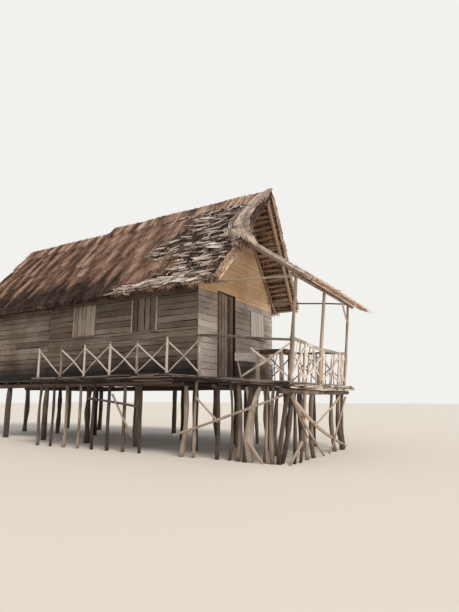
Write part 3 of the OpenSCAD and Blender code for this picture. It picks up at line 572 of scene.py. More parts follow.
class Look(Enum):
    """The house's finishes, each with its slot."""

    # Round poles stripped of bark: salt lifts the grain, so they read as streaks with black checks.
    STILT = Wood(
        "weathered_round_wood", "salt_worn_stilt_wood", "#aa9888", "#726257", "#3a2f28", "#16100d", fibre_mm=13,
        spread=0.6, checks=0.8,
    )
    DRIFTWOOD = Wood(
        "weathered_round_wood", "pale_driftwood_trunk", "#c9bdae", "#a09180", "#665849", "#2b221b", fibre_mm=16
    )
    TIMBER = Wood(
        "weathered_round_wood", "dark_joist_wood", "#7d6d61", "#55463c", "#2f2621", "#16110e", fibre_mm=11, spread=0.5
    )
    # Darker than the sticks of the terrace's lit outer edge: painted shade of the shaded deck front and of the bearers
    # under it.
    EDGE = Wood(
        "weathered_round_wood", "dark_edge_stick", "#87786d", "#483c35", "#1f1814", "#0d0907", fibre_mm=9, spread=0.8
    )
    PORCH = Wood(
        "weathered_round_wood", "sun_bleached_porch_pole", "#a59486", "#786759", "#43362d", "#1f1611", fibre_mm=10,
        spread=0.6,
    )
    STICK = Wood(
        "bleached_sticks", "barkless_white_stick", "#c6bbb1", "#908377", "#52453c", "#2b211b", fibre_mm=8,
        spread=0.8, checks=0.4,
    )
    ROOF_POLE = Wood(
        "roof_poles", "smoke_brown_roof_pole", "#ab9180", "#775f50", "#43322a", "#1d130d", fibre_mm=8, spread=0.7
    )
    BENCH = Wood("bench_wood", "brown_bench_log", "#9a887b", "#665244", "#382920", "#1c130e", fibre_mm=10, spread=0.7)
    # Sawn boards gone silver in the open and brown or tan where a roof shades them, darkened along their edges with
    # painted shade in the laps and some grime.
    APRON = Wood("bench_wood", "grey_bench_board", "#b9b3ae", "#918a84", "#645c56", "#2e2620", fibre_mm=10, rim=0.5)
    DECK = Wood("deck_boards", "driftwood_deck_plank", "#c4b2a2", "#9a8778", "#5f5146", "#2c231c", fibre_mm=10, rim=0.6)
    WALL = Wood(
        "grey_wall_boards", "grey_sawn_wall_board", "#94877a", "#6e6256", "#352b23", "#17110d", checks=0.35, rim=0.9,
        stain="#5c4332", foot_m=PLAN.z_floor + 0.15,
    )
    PALE = Wood(
        "grey_wall_boards", "bleached_gable_board", "#d3ccc6", "#b0a79f", "#473d36", "#3a302a", spread=0.42,
        checks=0.3, rim=0.6,
    )
    # The tan is the boards' own; their very light tone is partly painted light, brightening the upper gable that the
    # porch roof shades.
    TAN = Wood(
        "tan_gable_boards", "tan_gable_board", "#f2dcc0", "#dfbf9c", "#b3916f", "#7a5c44", spread=0.34, checks=0.35,
        rim=0.28, stain="#c79b70",
    )
    DOOR = Wood("door_wood", "brown_door_plank", "#b7a599", "#857365", "#4b3c31", "#1c130e", spread=0.6, rim=0.85)
    SHUTTER = Wood("shutter_boards", "tan_shutter_board", "#b0a392", "#857769", "#564a3f", "#2a211b", rim=0.8)
    SHUTTER_DARK = Wood(
        "shutter_boards", "purple_brown_shutter_board", "#8a7c75", "#584a43", "#2c221e", "#100b09", spread=0.6, rim=0.85
    )
    SHUTTER_PALE = Wood(
        "shutter_boards", "bleached_shutter_board", "#f0eae4", "#ddd4cc", "#b3a79c", "#4a3f37", rim=0.75
    )
    # Squared timber and the shaded faces behind the boards: plain, dark and long in the grain.
    FRAME = Wood(
        "frame_timber", "squared_frame_timber", "#8a7866", "#655241", "#3e3026", "#1f1712", Grain.ALONG_Z, fibre_mm=12
    )
    PLATE = Wood(
        "frame_timber", "squared_plate_timber", "#8a7866", "#655241", "#3e3026", "#1f1712", Grain.ALONG_X, fibre_mm=12
    )
    BACKING = Wood("grey_wall_boards", "shaded_wall_backing", "#4a3d32", "#332921", "#221a15", "#120d0a", Grain.ALONG_X)
    BACKING_Y = Wood(
        "grey_wall_boards", "shaded_gable_backing", "#7d6650", "#5f4b38", "#3a2c20", "#1c140e", Grain.ALONG_Y
    )
    FLOOR = Wood(
        "deck_boards", "worn_floor_plank", "#b09d89", "#8a7866", "#5a4c40", "#2a211a", Grain.ALONG_X, board_mm=140
    )
    # Palm leaf: red brown while it is whole, bleached to bone where strips come loose, straw on the porch.
    LEAF = Thatch(
        "palm_thatch", "red_brown_palm_thatch",
        ((0.0, "#231711"), (0.22, "#4d382b"), (0.42, "#7d604d"), (0.6, "#a28270"), (0.78, "#bfa592"), (1.0, "#dccfc0")),
    )
    PALE_LEAF = Thatch(
        "pale_thatch", "bleached_palm_leaf",
        ((0.0, "#2a1c14"), (0.2, "#584539"), (0.4, "#927e71"), (0.6, "#bba99d"), (0.8, "#d8cac0"), (1.0, "#efe7df")),
        fibre_mm=7,
    )
    UNDER = Thatch(
        "palm_thatch", "folded_leaf_under_roof",
        ((0.0, "#38271e"), (0.25, "#705848"), (0.5, "#9f846f"), (0.75, "#c2a890"), (1.0, "#dfcdb9")),
    )
    STRAW = Thatch(
        "pale_thatch", "tan_porch_straw",
        ((0.0, "#4a2f22"), (0.2, "#856b58"), (0.4, "#b39a85"), (0.6, "#cdb9a8"), (0.8, "#ddcfc1"), (1.0, "#ece2d8")),
    )
    # Both beds are darker than the leaves over them: painted shade in the gaps between the leaves.
    BED = ThatchBed("palm_thatch", "packed_thatch_bed", "#1a110c", "#45301f")
    STRAW_BED = ThatchBed("pale_thatch", "packed_straw_bed", "#4d3a2c", "#836a55")
    IRON = Iron()

    @property
    def slot(self) -> str:
        """The slot that this finish belongs to."""
        return self.value.slot

    def material(self) -> bpy.types.Material:
        """The finish's material, built once."""
        known = bpy.data.materials.get(self.value.name)
        return known or self.value.build()


@dataclass
class Shape:
    """A small mesh that copies are laid from: points, corners and faces as arrays."""

    points: Array
    corners: Array
    sizes: Array
    smooth: bool

    @classmethod
    def take(cls, smooth: bool) -> Shape:
        """Reads the active object's mesh, and removes that object.

        Args:
            smooth: whether its faces are shaded smooth.

        Returns:
            The shape.
        """
        bpy.ops.object.mode_set(mode="OBJECT")
        made = bpy.context.object
        mesh = made.data
        points = np.zeros(len(mesh.vertices) * 3)
        mesh.vertices.foreach_get("co", points)
        corners = np.zeros(len(mesh.loops), int)
        mesh.loops.foreach_get("vertex_index", corners)
        sizes = np.zeros(len(mesh.polygons), int)
        mesh.polygons.foreach_get("loop_total", sizes)
        bpy.data.objects.remove(made)
        return cls(points.reshape(-1, 3), corners, sizes, smooth)

    @staticmethod
    def start() -> None:
        """Leaves edit mode and deselects all objects."""
        if bpy.context.mode != "OBJECT":
            bpy.ops.object.mode_set(mode="OBJECT")
        bpy.ops.object.select_all(action="DESELECT")

    @staticmethod
    def place() -> None:
        """Applies the new primitive's place and opens it in edit mode."""
        bpy.ops.object.transform_apply(location=True)
        bpy.ops.object.mode_set(mode="EDIT")

    @staticmethod
    def pick_edges(axis: int) -> None:
        """Selects, in edit mode, the edges that run the whole length along an axis.

        Args:
            axis: 0 for X and 2 for Z.
        """
        mesh = bpy.context.object.data
        bpy.ops.mesh.select_all(action="DESELECT")
        bpy.ops.mesh.select_mode(type="EDGE")
        bpy.ops.object.mode_set(mode="OBJECT")
        for edge in mesh.edges:
            a, b = (mesh.vertices[i].co for i in edge.vertices)
            edge.select = abs(a[axis] - b[axis]) > 0.5
        bpy.ops.object.mode_set(mode="EDIT")

    @classmethod
    @cache
    def pole(cls, sides: int) -> Shape:
        """Models a round pole of radius 1 from z = 0 to 1, with broken, domed ends.

        Args:
            sides: how many sides it has, and how many lengths.

        Returns:
            The shape.
        """
        cls.start()
        bpy.ops.mesh.primitive_cylinder_add(vertices=sides, radius=1, depth=1, location=(0, 0, 0.5))
        cls.place()
        cls.pick_edges(2)
        bpy.ops.mesh.subdivide(number_cuts=sides - 1)
        for level, way in ((0.0, -1), (1.0, 1)):
            bpy.ops.mesh.select_all(action="DESELECT")
            bpy.ops.mesh.select_mode(type="FACE")
            bpy.ops.object.mode_set(mode="OBJECT")
            for face in bpy.context.object.data.polygons:
                face.select = abs(face.center.z - level) < 1e-4 and abs(face.normal.z) > 0.9
            bpy.ops.object.mode_set(mode="EDIT")
            bpy.ops.mesh.inset(thickness=0.3)
            bpy.ops.transform.translate(value=(0, 0, way * 0.3))
        return cls.take(True)

    @classmethod
    @cache
    def board(cls) -> Shape:
        """Models a board from x = 0 to 1, one unit thick and high, with its long edges worn and cuts that let it bow.

        Returns:
            The shape.
        """
        cls.start()
        bpy.ops.mesh.primitive_cube_add(size=1, location=(0.5, 0, 0))
        cls.place()
        cls.pick_edges(0)
        bpy.ops.mesh.bevel(offset=0.1, segments=1, affect="EDGES")
        cls.pick_edges(0)
        bpy.ops.mesh.subdivide(number_cuts=5)
        return cls.take(False)

    @classmethod
    @cache
    def leaf(cls) -> Shape:
        """Models a folded leaf blade from z = 0 to 1, with its keel along +Y.

        Returns:
            The shape.
        """
        cls.start()
        bpy.ops.mesh.primitive_cylinder_add(vertices=3, radius=1, depth=1, location=(0, 0, 0.5), end_fill_type="NGON")
        cls.place()
        cls.pick_edges(2)
        bpy.ops.mesh.subdivide(number_cuts=2)
        return cls.take(False)


class Piece:
    """A piece that is laid from poles, boards and leaves, and then made one mesh."""

    def __init__(self, name: str, look: Look, body: str = HOUSE) -> None:
        """Starts a piece.

        Args:
            name: the piece's name, which also seeds its random numbers.
            look: its finish.
            body: the CAD body that it rides on.
        """
        self.name, self.look, self.body = name, look, body
        self.rng = np.random.default_rng(sum(ord(c) * (i + 3) for i, c in enumerate(name)))
        self.parts: dict[str, list[Array]] = {}
        self.count = 0

    def spread(self, start: float, stop: float, pitch: float, stray: float) -> Array:
        """Spreads places along a line, each a little astray.

        Args:
            start, stop: the line's ends.
            pitch: the step between places.
            stray: how far they stray, as a standard deviation.

        Returns:
            The places.
        """
        places = np.arange(start, stop, pitch)
        return places + self.rng.normal(0, stray, len(places))

    def lay(self, shape: Shape, points: Array, uv: Array, tint: Any, share: Any) -> None:
        """Adds copies of a shape.

        Args:
            shape: the shape that is copied.
            points: new places of its points, copies by points by 3.
            uv: metres across and along the grain at each point, copies by points by 2.
            tint: one number for each copy, or one for all.
            share: how far along a leaf or towards a board's edge each point lies, copies by points.
        """
        copies, many = points.shape[:2]
        start = self.count + np.arange(copies)[:, None] * many
        for key, value in (
            ("points", points.reshape(-1, 3)),
            ("corners", (start + shape.corners[None, :]).ravel()),
            ("sizes", np.tile(shape.sizes, copies)),
            ("smooth", np.full(copies * len(shape.sizes), shape.smooth)),
            ("uvs", uv[:, shape.corners].reshape(-1, 2)),
            ("tint", np.repeat(np.broadcast_to(tint, copies), many)),
            ("share", np.broadcast_to(share, (copies, many)).ravel()),
        ):
            self.parts.setdefault(key, []).append(value)
        self.count += copies * many

    def pole(
        self, a: Array, b: Array, r1: float, r2: float, crook: float = 0.02, knots: float = 0.10,
        thin: bool = False, on_ground: bool = False, tint: float | None = None,
    ) -> None:
        """Lays one crooked pole.

        Args:
            a, b: its two ends.
            r1, r2: its radius at each end.
            crook: how far it strays from a straight line, as a share of its length.
            knots: how much its radius swells, as a share of it.
            thin: lays the shape with fewer sides.
            on_ground: cuts its foot level with the ground.
            tint: its own tone, or None for a random one.
        """
        rng = self.rng
        shape = Shape.pole(7 if thin else 12)
        x, y, t = shape.points.T
        length = np.linalg.norm(b - a)
        d = (b - a) / length
        u = unit(np.cross(d, vec(0, 0, 1) if abs(d[2]) < 0.9 else vec(1, 0, 0)))
        w = np.cross(d, u)
        flat = np.clip(t, 0, 1)
        past = t - flat
        turn = rng.uniform(0, 2 * math.pi)
        bend = crook * length * rng.uniform(0.5, 1.0)
        wave = bend * 0.35 * rng.uniform(-1, 1)
        off_u = np.sin(math.pi * flat) * bend * math.cos(turn) + np.sin(2 * math.pi * flat) * wave
        off_w = np.sin(math.pi * flat) * bend * math.sin(turn) - np.sin(3 * math.pi * flat) * wave * 0.6
        swell = sum(
            rng.uniform(0.3, 1.0) * np.sin(flat * length * rng.uniform(3, 11) + rng.uniform(0, 6.3)) for _ in range(3)
        )
        angle = np.arctan2(y, x)
        oval = 1 + 0.07 * np.cos(2 * angle + rng.uniform(0, 6.3)) + 0.05 * np.cos(3 * angle + flat * length * 2)
        r = mix(r1, r2, flat) * (1 + knots * swell / 2) * oval
        jag = 1 + 0.35 * np.cos(3 * angle + rng.uniform(0, 6.3))
        points = a + d * (flat * length + past * np.minimum(r, r1) * jag)[:, None]
        points = points + u * (off_u + r * x)[:, None] + w * (off_w + r * y)[:, None]
        if on_ground:
            points[:, 2] = np.maximum(points[:, 2], 0.0)
        around = np.abs(angle) * max(r1, r2)
        uv = np.stack([around + rng.uniform(0, 9), t * length + rng.uniform(0, 9)], -1)
        self.lay(shape, points[None], uv[None], rng.uniform(0, 1) if tint is None else tint, 0.0)

    def board(
        self, start: Array, end: Array, out: Array, width: float, thick: float, warp: float = 0.004,
        ragged: float = 0.006, worn: float = 0.004, slants: Pair = (0.0, 0.0), tint: float | None = None,
    ) -> None:
        """Lays one board whose back lies on the line from start to end.

        Args:
            start, end: the middle of its back at each end.
            out: the direction its face looks.
            width, thick: its section.
            warp: how far it twists and bows, in metres.
            ragged: how uneven its sawn ends are.
            worn: width of its worn edges.
            slants: how far its upper edge reaches past its middle at the start and at the end.
            tint: its own tone, or None for a random one.
        """
        rng = self.rng
        shape = Shape.board()
        t, y, z = shape.points.T
        length = np.linalg.norm(end - start)
        d = (end - start) / length
        up = unit(np.cross(d, out))
        up = up if up[2] > -1e-6 else -up
        side = np.sign(z) * (width / 2 - (0.5 - np.abs(z)) / 0.1 * worn)
        deep = thick / 2 + np.sign(y) * (thick / 2 - (0.5 - np.abs(y)) / 0.1 * min(worn, thick / 3))
        edge = rng.uniform(-1, 1, 4) * warp
        bow = np.sin(t * math.pi * rng.uniform(0.8, 2.4) + rng.uniform(0, 3))
        side = side + np.where(z > 0, edge[0], edge[1]) * bow
        lift = edge[2] * np.sin(math.pi * t) + edge[3] * (z * 2) * (t - 0.5)
        first, last = rng.uniform(-1, 1, len(t)), rng.uniform(-1, 1, len(t))
        run = t * length + np.where(t < 0.01, first, np.where(t > 0.99, last, 0.0)) * ragged
        run = run + mix(slants[0], slants[1], t) * z * 2
        points = start + d * run[:, None] + out * (deep + np.abs(lift))[:, None] + up * side[:, None]
        uv = np.stack([side + deep + rng.uniform(0, 9), t * length + rng.uniform(0, 9)], -1)
        shade = rng.uniform(0, 1) if tint is None else tint
        self.lay(shape, points[None], uv[None], shade, 2 * np.abs(z))

    def leaves(
        self, roots: Array, down: Array, out: Array, length: Any, width: Any, tint: Any,
        lift: float = 0.02, curl: float = 0.03, fan: float = 0.12, thick: float = 0.006,
    ) -> None:
        """Lays many leaves at once.

        Args:
            roots: the place of each leaf's root.
            down: the direction that they hang, one or one for each.
            out: the direction out of the roof.
            length, width: one number for each leaf, or the range that it is drawn from.
            tint: one number for each leaf, or the mean and the standard deviation that it is drawn with.
            lift: how far the tips stand out of the roof, in metres.
            curl: how much that varies.
            fan: how far they stray sideways, as a share of the length.
            thick: height of a leaf's keel.
        """
        rng = self.rng
        many = len(roots)
        if isinstance(length, tuple):
            length = rng.uniform(*length, many)
        if isinstance(width, tuple):
            width = rng.uniform(*width, many)
        if isinstance(tint, tuple):
            tint = rng.normal(*tint, many)
        shape = Shape.leaf()
        x, y, t = shape.points.T
        down, out = np.broadcast_to(down, roots.shape), np.broadcast_to(out, roots.shape)
        side = np.cross(down, out)
        down = unit(down + side * rng.normal(0, fan, (many, 1)))
        side = np.cross(down, out)
        side = unit(side + out * rng.normal(0, 0.22, (many, 1)))
        rise = (lift + rng.normal(0, 1, many) * curl)[:, None] * t[None] ** 1.6
        bow = rng.normal(0, 0.035, many)[:, None] * (t[None] ** 2) * length[:, None]
        half = np.interp(t, [0, 0.34, 0.67, 1], [0.75, 1.0, 0.85, 0.28])[None] * width[:, None] / 1.73
        points = (
            roots[:, None]
            + down[:, None] * (t[None] * length[:, None])[..., None]
            + side[:, None] * (half * x[None] + bow)[..., None]
            + out[:, None] * (rise + (y[None] + 0.5) * thick)[..., None]
        )
        uv = np.stack([half * x[None], t[None] * length[:, None]], -1) + rng.uniform(0, 9, (many, 1, 2))
        self.lay(shape, points, uv, np.clip(tint, 0, 1), t)

    def finish(self, *nodes: str) -> None:
        """Makes the mesh, and gives it its finish and body.

        Args:
            nodes: the CAD nodes that it stands for.
        """
        mesh = bpy.data.meshes.new(self.name)
        parts = {key: np.concatenate(value) for key, value in self.parts.items()}
        points, corners, sizes = parts["points"], parts["corners"], parts["sizes"]
        mesh.vertices.add(len(points))
        mesh.vertices.foreach_set("co", points.ravel())
        mesh.loops.add(len(corners))
        mesh.loops.foreach_set("vertex_index", corners)
        mesh.polygons.add(len(sizes))
        mesh.polygons.foreach_set("loop_start", np.concatenate([[0], np.cumsum(sizes)[:-1]]))
        mesh.polygons.foreach_set("use_smooth", parts["smooth"])
        mesh.uv_layers.new(name="UVMap").data.foreach_set("uv", parts["uvs"].ravel())
        for key in ("tint", "share"):
            mesh.attributes.new(key, "FLOAT", "POINT").data.foreach_set("value", parts[key])
        mesh.update(calc_edges=True)
        made = bpy.data.objects.new(self.name, mesh)
        bpy.context.scene.collection.objects.link(made)
        Shape.start()
        bpy.context.view_layer.objects.active = made
        made.select_set(True)
        bpy.ops.object.mode_set(mode="EDIT")
        bpy.ops.mesh.select_all(action="SELECT")
        bpy.ops.mesh.normals_make_consistent(inside=False)
        bpy.ops.object.mode_set(mode="OBJECT")
        made.select_set(False)
        mesh.materials.append(self.look.material())
        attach(made, self.body)
        self.look.slot
        if nodes:
            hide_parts(*nodes)
        log.info("%s: %d points, %d faces", self.name, len(points), len(sizes))


def frame_poles(node: str) -> list[tuple[Array, Array, float]]:
    """Finds each separate round pole of a CAD node.

    Args:
        node: the node's name.

    Returns:
        Lower end, upper end and radius of each, in order along X, then Y.
    """
    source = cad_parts[node].data
    points = np.zeros(len(source.vertices) * 3)
    source.vertices.foreach_get("co", points)
    points = points.reshape(-1, 3)
    _, first, same = np.unique(np.round(points, 4), axis=0, return_index=True, return_inverse=True)
    corners = np.zeros(len(source.loops), int)
    source.loops.foreach_get("vertex_index", corners)
    tris = same.ravel()[corners].reshape(-1, 3)
    # Every point takes the lowest number that its triangles touch, until each pole has one number.
    group = np.arange(len(first))
    while True:
        low = group[tris].min(1)
        new = group.copy()
        for k in range(3):
            np.minimum.at(new, tris[:, k], low)
        new = new[new]
        if (new == group).all():
            break
        group = new
    poles = []
    for g in np.unique(group):
        spots = points[first[group == g]]
        centre = (spots.max(0) + spots.min(0)) / 2
        _, _, axes = np.linalg.svd(spots - spots.mean(0))
        along = (spots - centre) @ axes[0]
        if along.max() - along.min() < 0.3:
            continue
        near, far = spots[along < along.min() + 0.15], spots[along > along.max() - 0.15]
        middle = [(part.max(0) + part.min(0)) / 2 for part in (near, far)]
        d = unit(middle[1] - middle[0])
        run = (spots - middle[0]) @ d
        across = np.linalg.norm((spots - middle[0]) - run[:, None] * d, axis=1)
        a, b = middle[0] + d * run.min(), middle[0] + d * run.max()
        a, b = (a, b) if a[2] < b[2] else (b, a)
        poles.append((a, b, float(np.percentile(across, 80))))
    return sorted(poles, key=lambda p: (round(p[0][0], 2), round(p[0][1], 2)))


@dataclass
class Ripple:
    """A smooth, fixed unevenness over two directions, from about -1 to 1."""

    seed: int
    wavelength: Pair
    waves: int = 7
    _k: Array = field(init=False)
    _p: Array = field(init=False)
    _a: Array = field(init=False)

    def __post_init__(self) -> None:
        """Draws the waves."""
        rng = np.random.default_rng(self.seed)
        spread = rng.uniform(0.5, 1.7, (self.waves, 2)) * rng.choice([-1, 1], (self.waves, 2))
        self._k = 2 * math.pi * spread / np.array(self.wavelength)
        self._p = rng.uniform(0, 2 * math.pi, self.waves)
        self._a = rng.uniform(0.5, 1.0, self.waves)

    def at(self, u: Any, v: Any) -> Any:
        """Adds the waves up.

        Args:
            u, v: places along the two directions.

        Returns:
            The unevenness there.
        """
        u, v = np.asarray(u, float), np.asarray(v, float)
        total = sum(a * np.sin(k[0] * u + k[1] * v + p) for k, p, a in zip(self._k, self._p, self._a))
        return total / (0.75 * math.sqrt(self.waves))


@dataclass
class Stilts:
    """The stilts, the poles that lie on them and the long braces.

    A brace is a start, its height, an end, its height and a radius; starts and ends are shares of the terrace's
    reach, of its width or of the walkway's length. The fork is the height of its crotch, how far the crotch and
    the foot stand back, the spread of its arms and its radius.
    """

    crook: float = 0.016
    edge_r: float = 0.042
    edge_sticks: int = 60
    tones: tuple[float, ...] = (0.08, 0.22, 0.36, 0.5, 0.66)
    fork: tuple[float, float, float, float, float] = (0.92, 0.05, 0.10, 0.12, 0.085)
    near_braces: tuple[tuple[float, ...], ...] = (
        (0.05, 0.38, 0.94, 1.09, 0.024), (0.25, 1.06, 0.44, 0.64, 0.02), (0.68, 0.34, 0.79, 0.0, 0.028),
    )
    outer_braces: tuple[tuple[float, ...], ...] = (
        (0.02, 1.08, 0.24, 0.38, 0.022), (0.04, 1.12, 0.5, 0.0, 0.026), (0.06, 1.0, 0.93, 0.07, 0.034),
        (0.85, 1.09, 0.36, 0.56, 0.02), (0.15, 0.33, 0.0, 0.04, 0.024), (0.99, 1.06, 0.80, 0.52, 0.022),
        (0.81, 0.56, 0.6, 0.0, 0.02),
    )
    walk_braces: tuple[tuple[float, ...], ...] = ((0.37, 1.12, 0.23, 0.3, 0.024), (0.55, 1.04, 0.2, 0.88, 0.026))

    def build(self) -> None:
        """Lays every pole under the floor."""
        for node in ("near_stilts", "middle_stilts", "far_stilts", "walkway_stilts"):
            piece = Piece(f"{node}_poles", Look.STILT)
            for a, b, r in frame_poles(node):
                tone = piece.rng.choice(self.tones)
                piece.pole(a, b, 0.9 * r, 0.8 * r, self.crook, 0.18, on_ground=True, tint=tone)
            piece.finish(node)
        self._terrace_stilts()
        self._braces()
        for node, look, share in (
            ("house_bearers", Look.TIMBER, 0.9), ("floor_joists", Look.TIMBER, 0.9),
            ("terrace_bearers", Look.EDGE, 0.8), ("terrace_stringers", Look.TIMBER, 0.9),
        ):
            piece = Piece(f"{node}_poles", look)
            for a, b, r in frame_poles(node):
                tone = piece.rng.uniform(0.0, 0.5)
                piece.pole(a, b, share * r, (share - 0.1) * r, 0.006, 0.14, tint=tone)
            piece.finish(node)
        self._edge_poles()

    def _edge_poles(self) -> None:
        """Lays a bundle of sticks in place of each pole along the decks' outer edges."""
        front, outer = Piece("deck_front_edge_sticks", Look.EDGE), Piece("terrace_outer_edge_sticks", Look.STICK)
        r = self.edge_r
        y, x_end = PLAN.y_outer - r, PLAN.x_outer + r
        z, z_end = PLAN.z_floor - r, PLAN.deck_z(x_end) - r
        for piece, a, b in (
            (front, vec(PLAN.x_walk, y, z), vec(PLAN.x_gable + 0.06, y, z)),
            (front, vec(PLAN.x_gable, y, z - PLAN.board), vec(x_end, y, z_end)),
            (outer, vec(x_end, y - 0.02, z_end), vec(x_end, PLAN.y_back + 0.28, z_end)),
        ):
            rng = piece.rng
            side = np.cross(unit(b - a), vec(0, 0, 1))
            # The pole inside each bundle is darkest: painted shade in the gaps between its sticks.
            piece.pole(a - 0.012 * side, b - 0.012 * side, 0.6 * r, 0.55 * r, 0.003, 0.16, tint=0.0)
            for k in range(self.edge_sticks):
                sunk = 0.022 if k % 4 == 0 or piece is outer else 0.0
                high = 0.036 * math.sin(2.4 * k) + rng.normal(0, 0.006) - sunk
                off = side * 0.036 * math.cos(2.4 * k) + vec(0, 0, high)
                start = rng.uniform(-0.01, 0.85)
                stop = min(start + rng.uniform(0.08, 0.42), 1.0 + rng.uniform(-0.01, 0.015))
                # Sticks high in the bundle are paler and low ones darker: painted highlight above and painted shade
                # below.
                tone = np.clip(rng.uniform(0.0, 0.8) + (0.25 if high > 0.015 else -0.1), 0, 1)
                piece.pole(
                    mix(a, b, start) + off, mix(a, b, stop) + off + vec(0, 0, rng.normal(0, 0.008)),
                    rng.uniform(0.009, 0.017), rng.uniform(0.006, 0.012), 0.02, 0.2, thin=True, tint=tone,
                )
        front.finish("deck_edge_poles")
        outer.finish("deck_edge_poles")

    def _terrace_stilts(self) -> None:
        """Lays the terrace's crooked stilts and the forked driftwood trunk."""
        piece = Piece("terrace_stilts_poles", Look.STILT)
        for a, b, r in frame_poles("terrace_stilts"):
            if r < 0.09 and abs(a[2]) < 0.05:
                corner = a[0] > PLAN.x_outer - 0.3 and a[1] < PLAN.y_outer + 0.3
                tone = 0.12 if corner else piece.rng.choice(self.tones)
                piece.pole(a, b, 0.9 * r, 0.74 * r, 0.045, 0.28, on_ground=True, tint=tone)
        piece.finish("terrace_stilts")
        piece = Piece("forked_driftwood_trunk", Look.DRIFTWOOD)
        height, reach, foot, spread, r = self.fork
        x, y = mix(PLAN.x_gable, PLAN.x_outer, 0.71), PLAN.y_outer + 0.08
        top = PLAN.deck_z(x) - 0.13
        crotch = vec(x - reach, y, height)
        piece.pole(vec(x - foot, y, 0), crotch, r, 0.95 * r, 0.03, 0.2, on_ground=True, tint=0.5)
        root = vec(x - foot - 0.04, y - 0.02, 0)
        piece.pole(root, crotch, 0.5 * r, 0.4 * r, 0.04, 0.2, on_ground=True, tint=0.9)
        for side in (-1, 1):
            arm = vec(x + side * spread, y, top)
            piece.pole(crotch - vec(0, 0, 0.1), arm, 0.78 * r, 0.45 * r, 0.05, 0.2, tint=0.75)
        piece.finish("terrace_stilts")

    def _braces(self) -> None:
        """Lays the long braces in front of the stilts."""
        piece = Piece("stilt_braces_poles", Look.STILT)
        reach, deck = PLAN.x_outer - PLAN.x_gable, PLAN.y_back - PLAN.y_outer
        walk = PLAN.x_gable - PLAN.x_walk
        for i, z1, j, z2, r in self.near_braces:
            a, b = (vec(PLAN.x_gable + s * reach, PLAN.y_outer - 0.005, z) for s, z in ((i, z1), (j, z2)))
            piece.pole(a, b, r, 0.8 * r, 0.02, 0.18, on_ground=True, tint=0.75)
        for i, z1, j, z2, r in self.outer_braces:
            a, b = (vec(PLAN.x_outer - 0.0305, PLAN.y_outer + s * deck, z) for s, z in ((i, z1), (j, z2)))
            piece.pole(a, b, r, 0.8 * r, 0.03, 0.16, on_ground=True, tint=piece.rng.uniform(0.4, 0.95))
        for i, z1, j, z2, r in self.walk_braces:
            a, b = (vec(PLAN.x_gable - s * walk, PLAN.y_outer + 0.034, z) for s, z in ((i, z1), (j, z2)))
            piece.pole(a, b, r, 0.8 * r, 0.02, knots=0.14, on_ground=True)
        piece.finish("stilt_braces")


@dataclass
class Decks:
    """The plank decks of the walkway and the terrace, and the floor of the house."""

    plank: float = 0.135
    gap: float = 0.012

    def build(self) -> None:
        """Lays the planks of both decks."""
        self._deck("walkway_deck", PLAN.x_walk, PLAN.x_gable, PLAN.y_near, lambda x: PLAN.z_floor)
        self._deck("terrace_deck", PLAN.x_gable, PLAN.x_outer, PLAN.y_back, PLAN.deck_z)
        paint("house_floor", Look.FLOOR)

    def _deck(self, node: str, x0: float, x1: float, y1: float, level: Callable[[float], float]) -> None:
        """Lays one deck's planks across it.

        Args:
            node: the CAD node it stands for.
            x0, x1: where the deck starts and ends.
            y1: its inner edge.
            level: gives the level of its top at x.
        """
        piece = Piece(f"{node}_planks", Look.DECK)
        rng = piece.rng
        x = x0
        while x < x1 - 0.04:
            width = min(self.plank * rng.uniform(0.75, 1.2), x1 - x)
            middle = x + width / 2
            rise = (level(middle + 0.01) - level(middle - 0.01)) / 0.02
            a = vec(middle, PLAN.y_outer - rng.uniform(-0.01, 0.035), level(middle) - PLAN.board)
            b = vec(middle, y1, a[2])
            piece.board(a, b, unit(vec(-rise, 0, 1)), width - self.gap, PLAN.board - 0.001, 0.004, 0.02)
            x += width
        piece.finish(node)


def paint(node: str, look: Look) -> None:
    """Gives a CAD node that stays its finish.

    Args:
        node: the node's name.
        look: its finish.
    """
    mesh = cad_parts[node].data
    mesh.materials.clear()
    mesh.materials.append(look.material())
    log.info("%s keeps its solid, in %s", node, look.value.name)


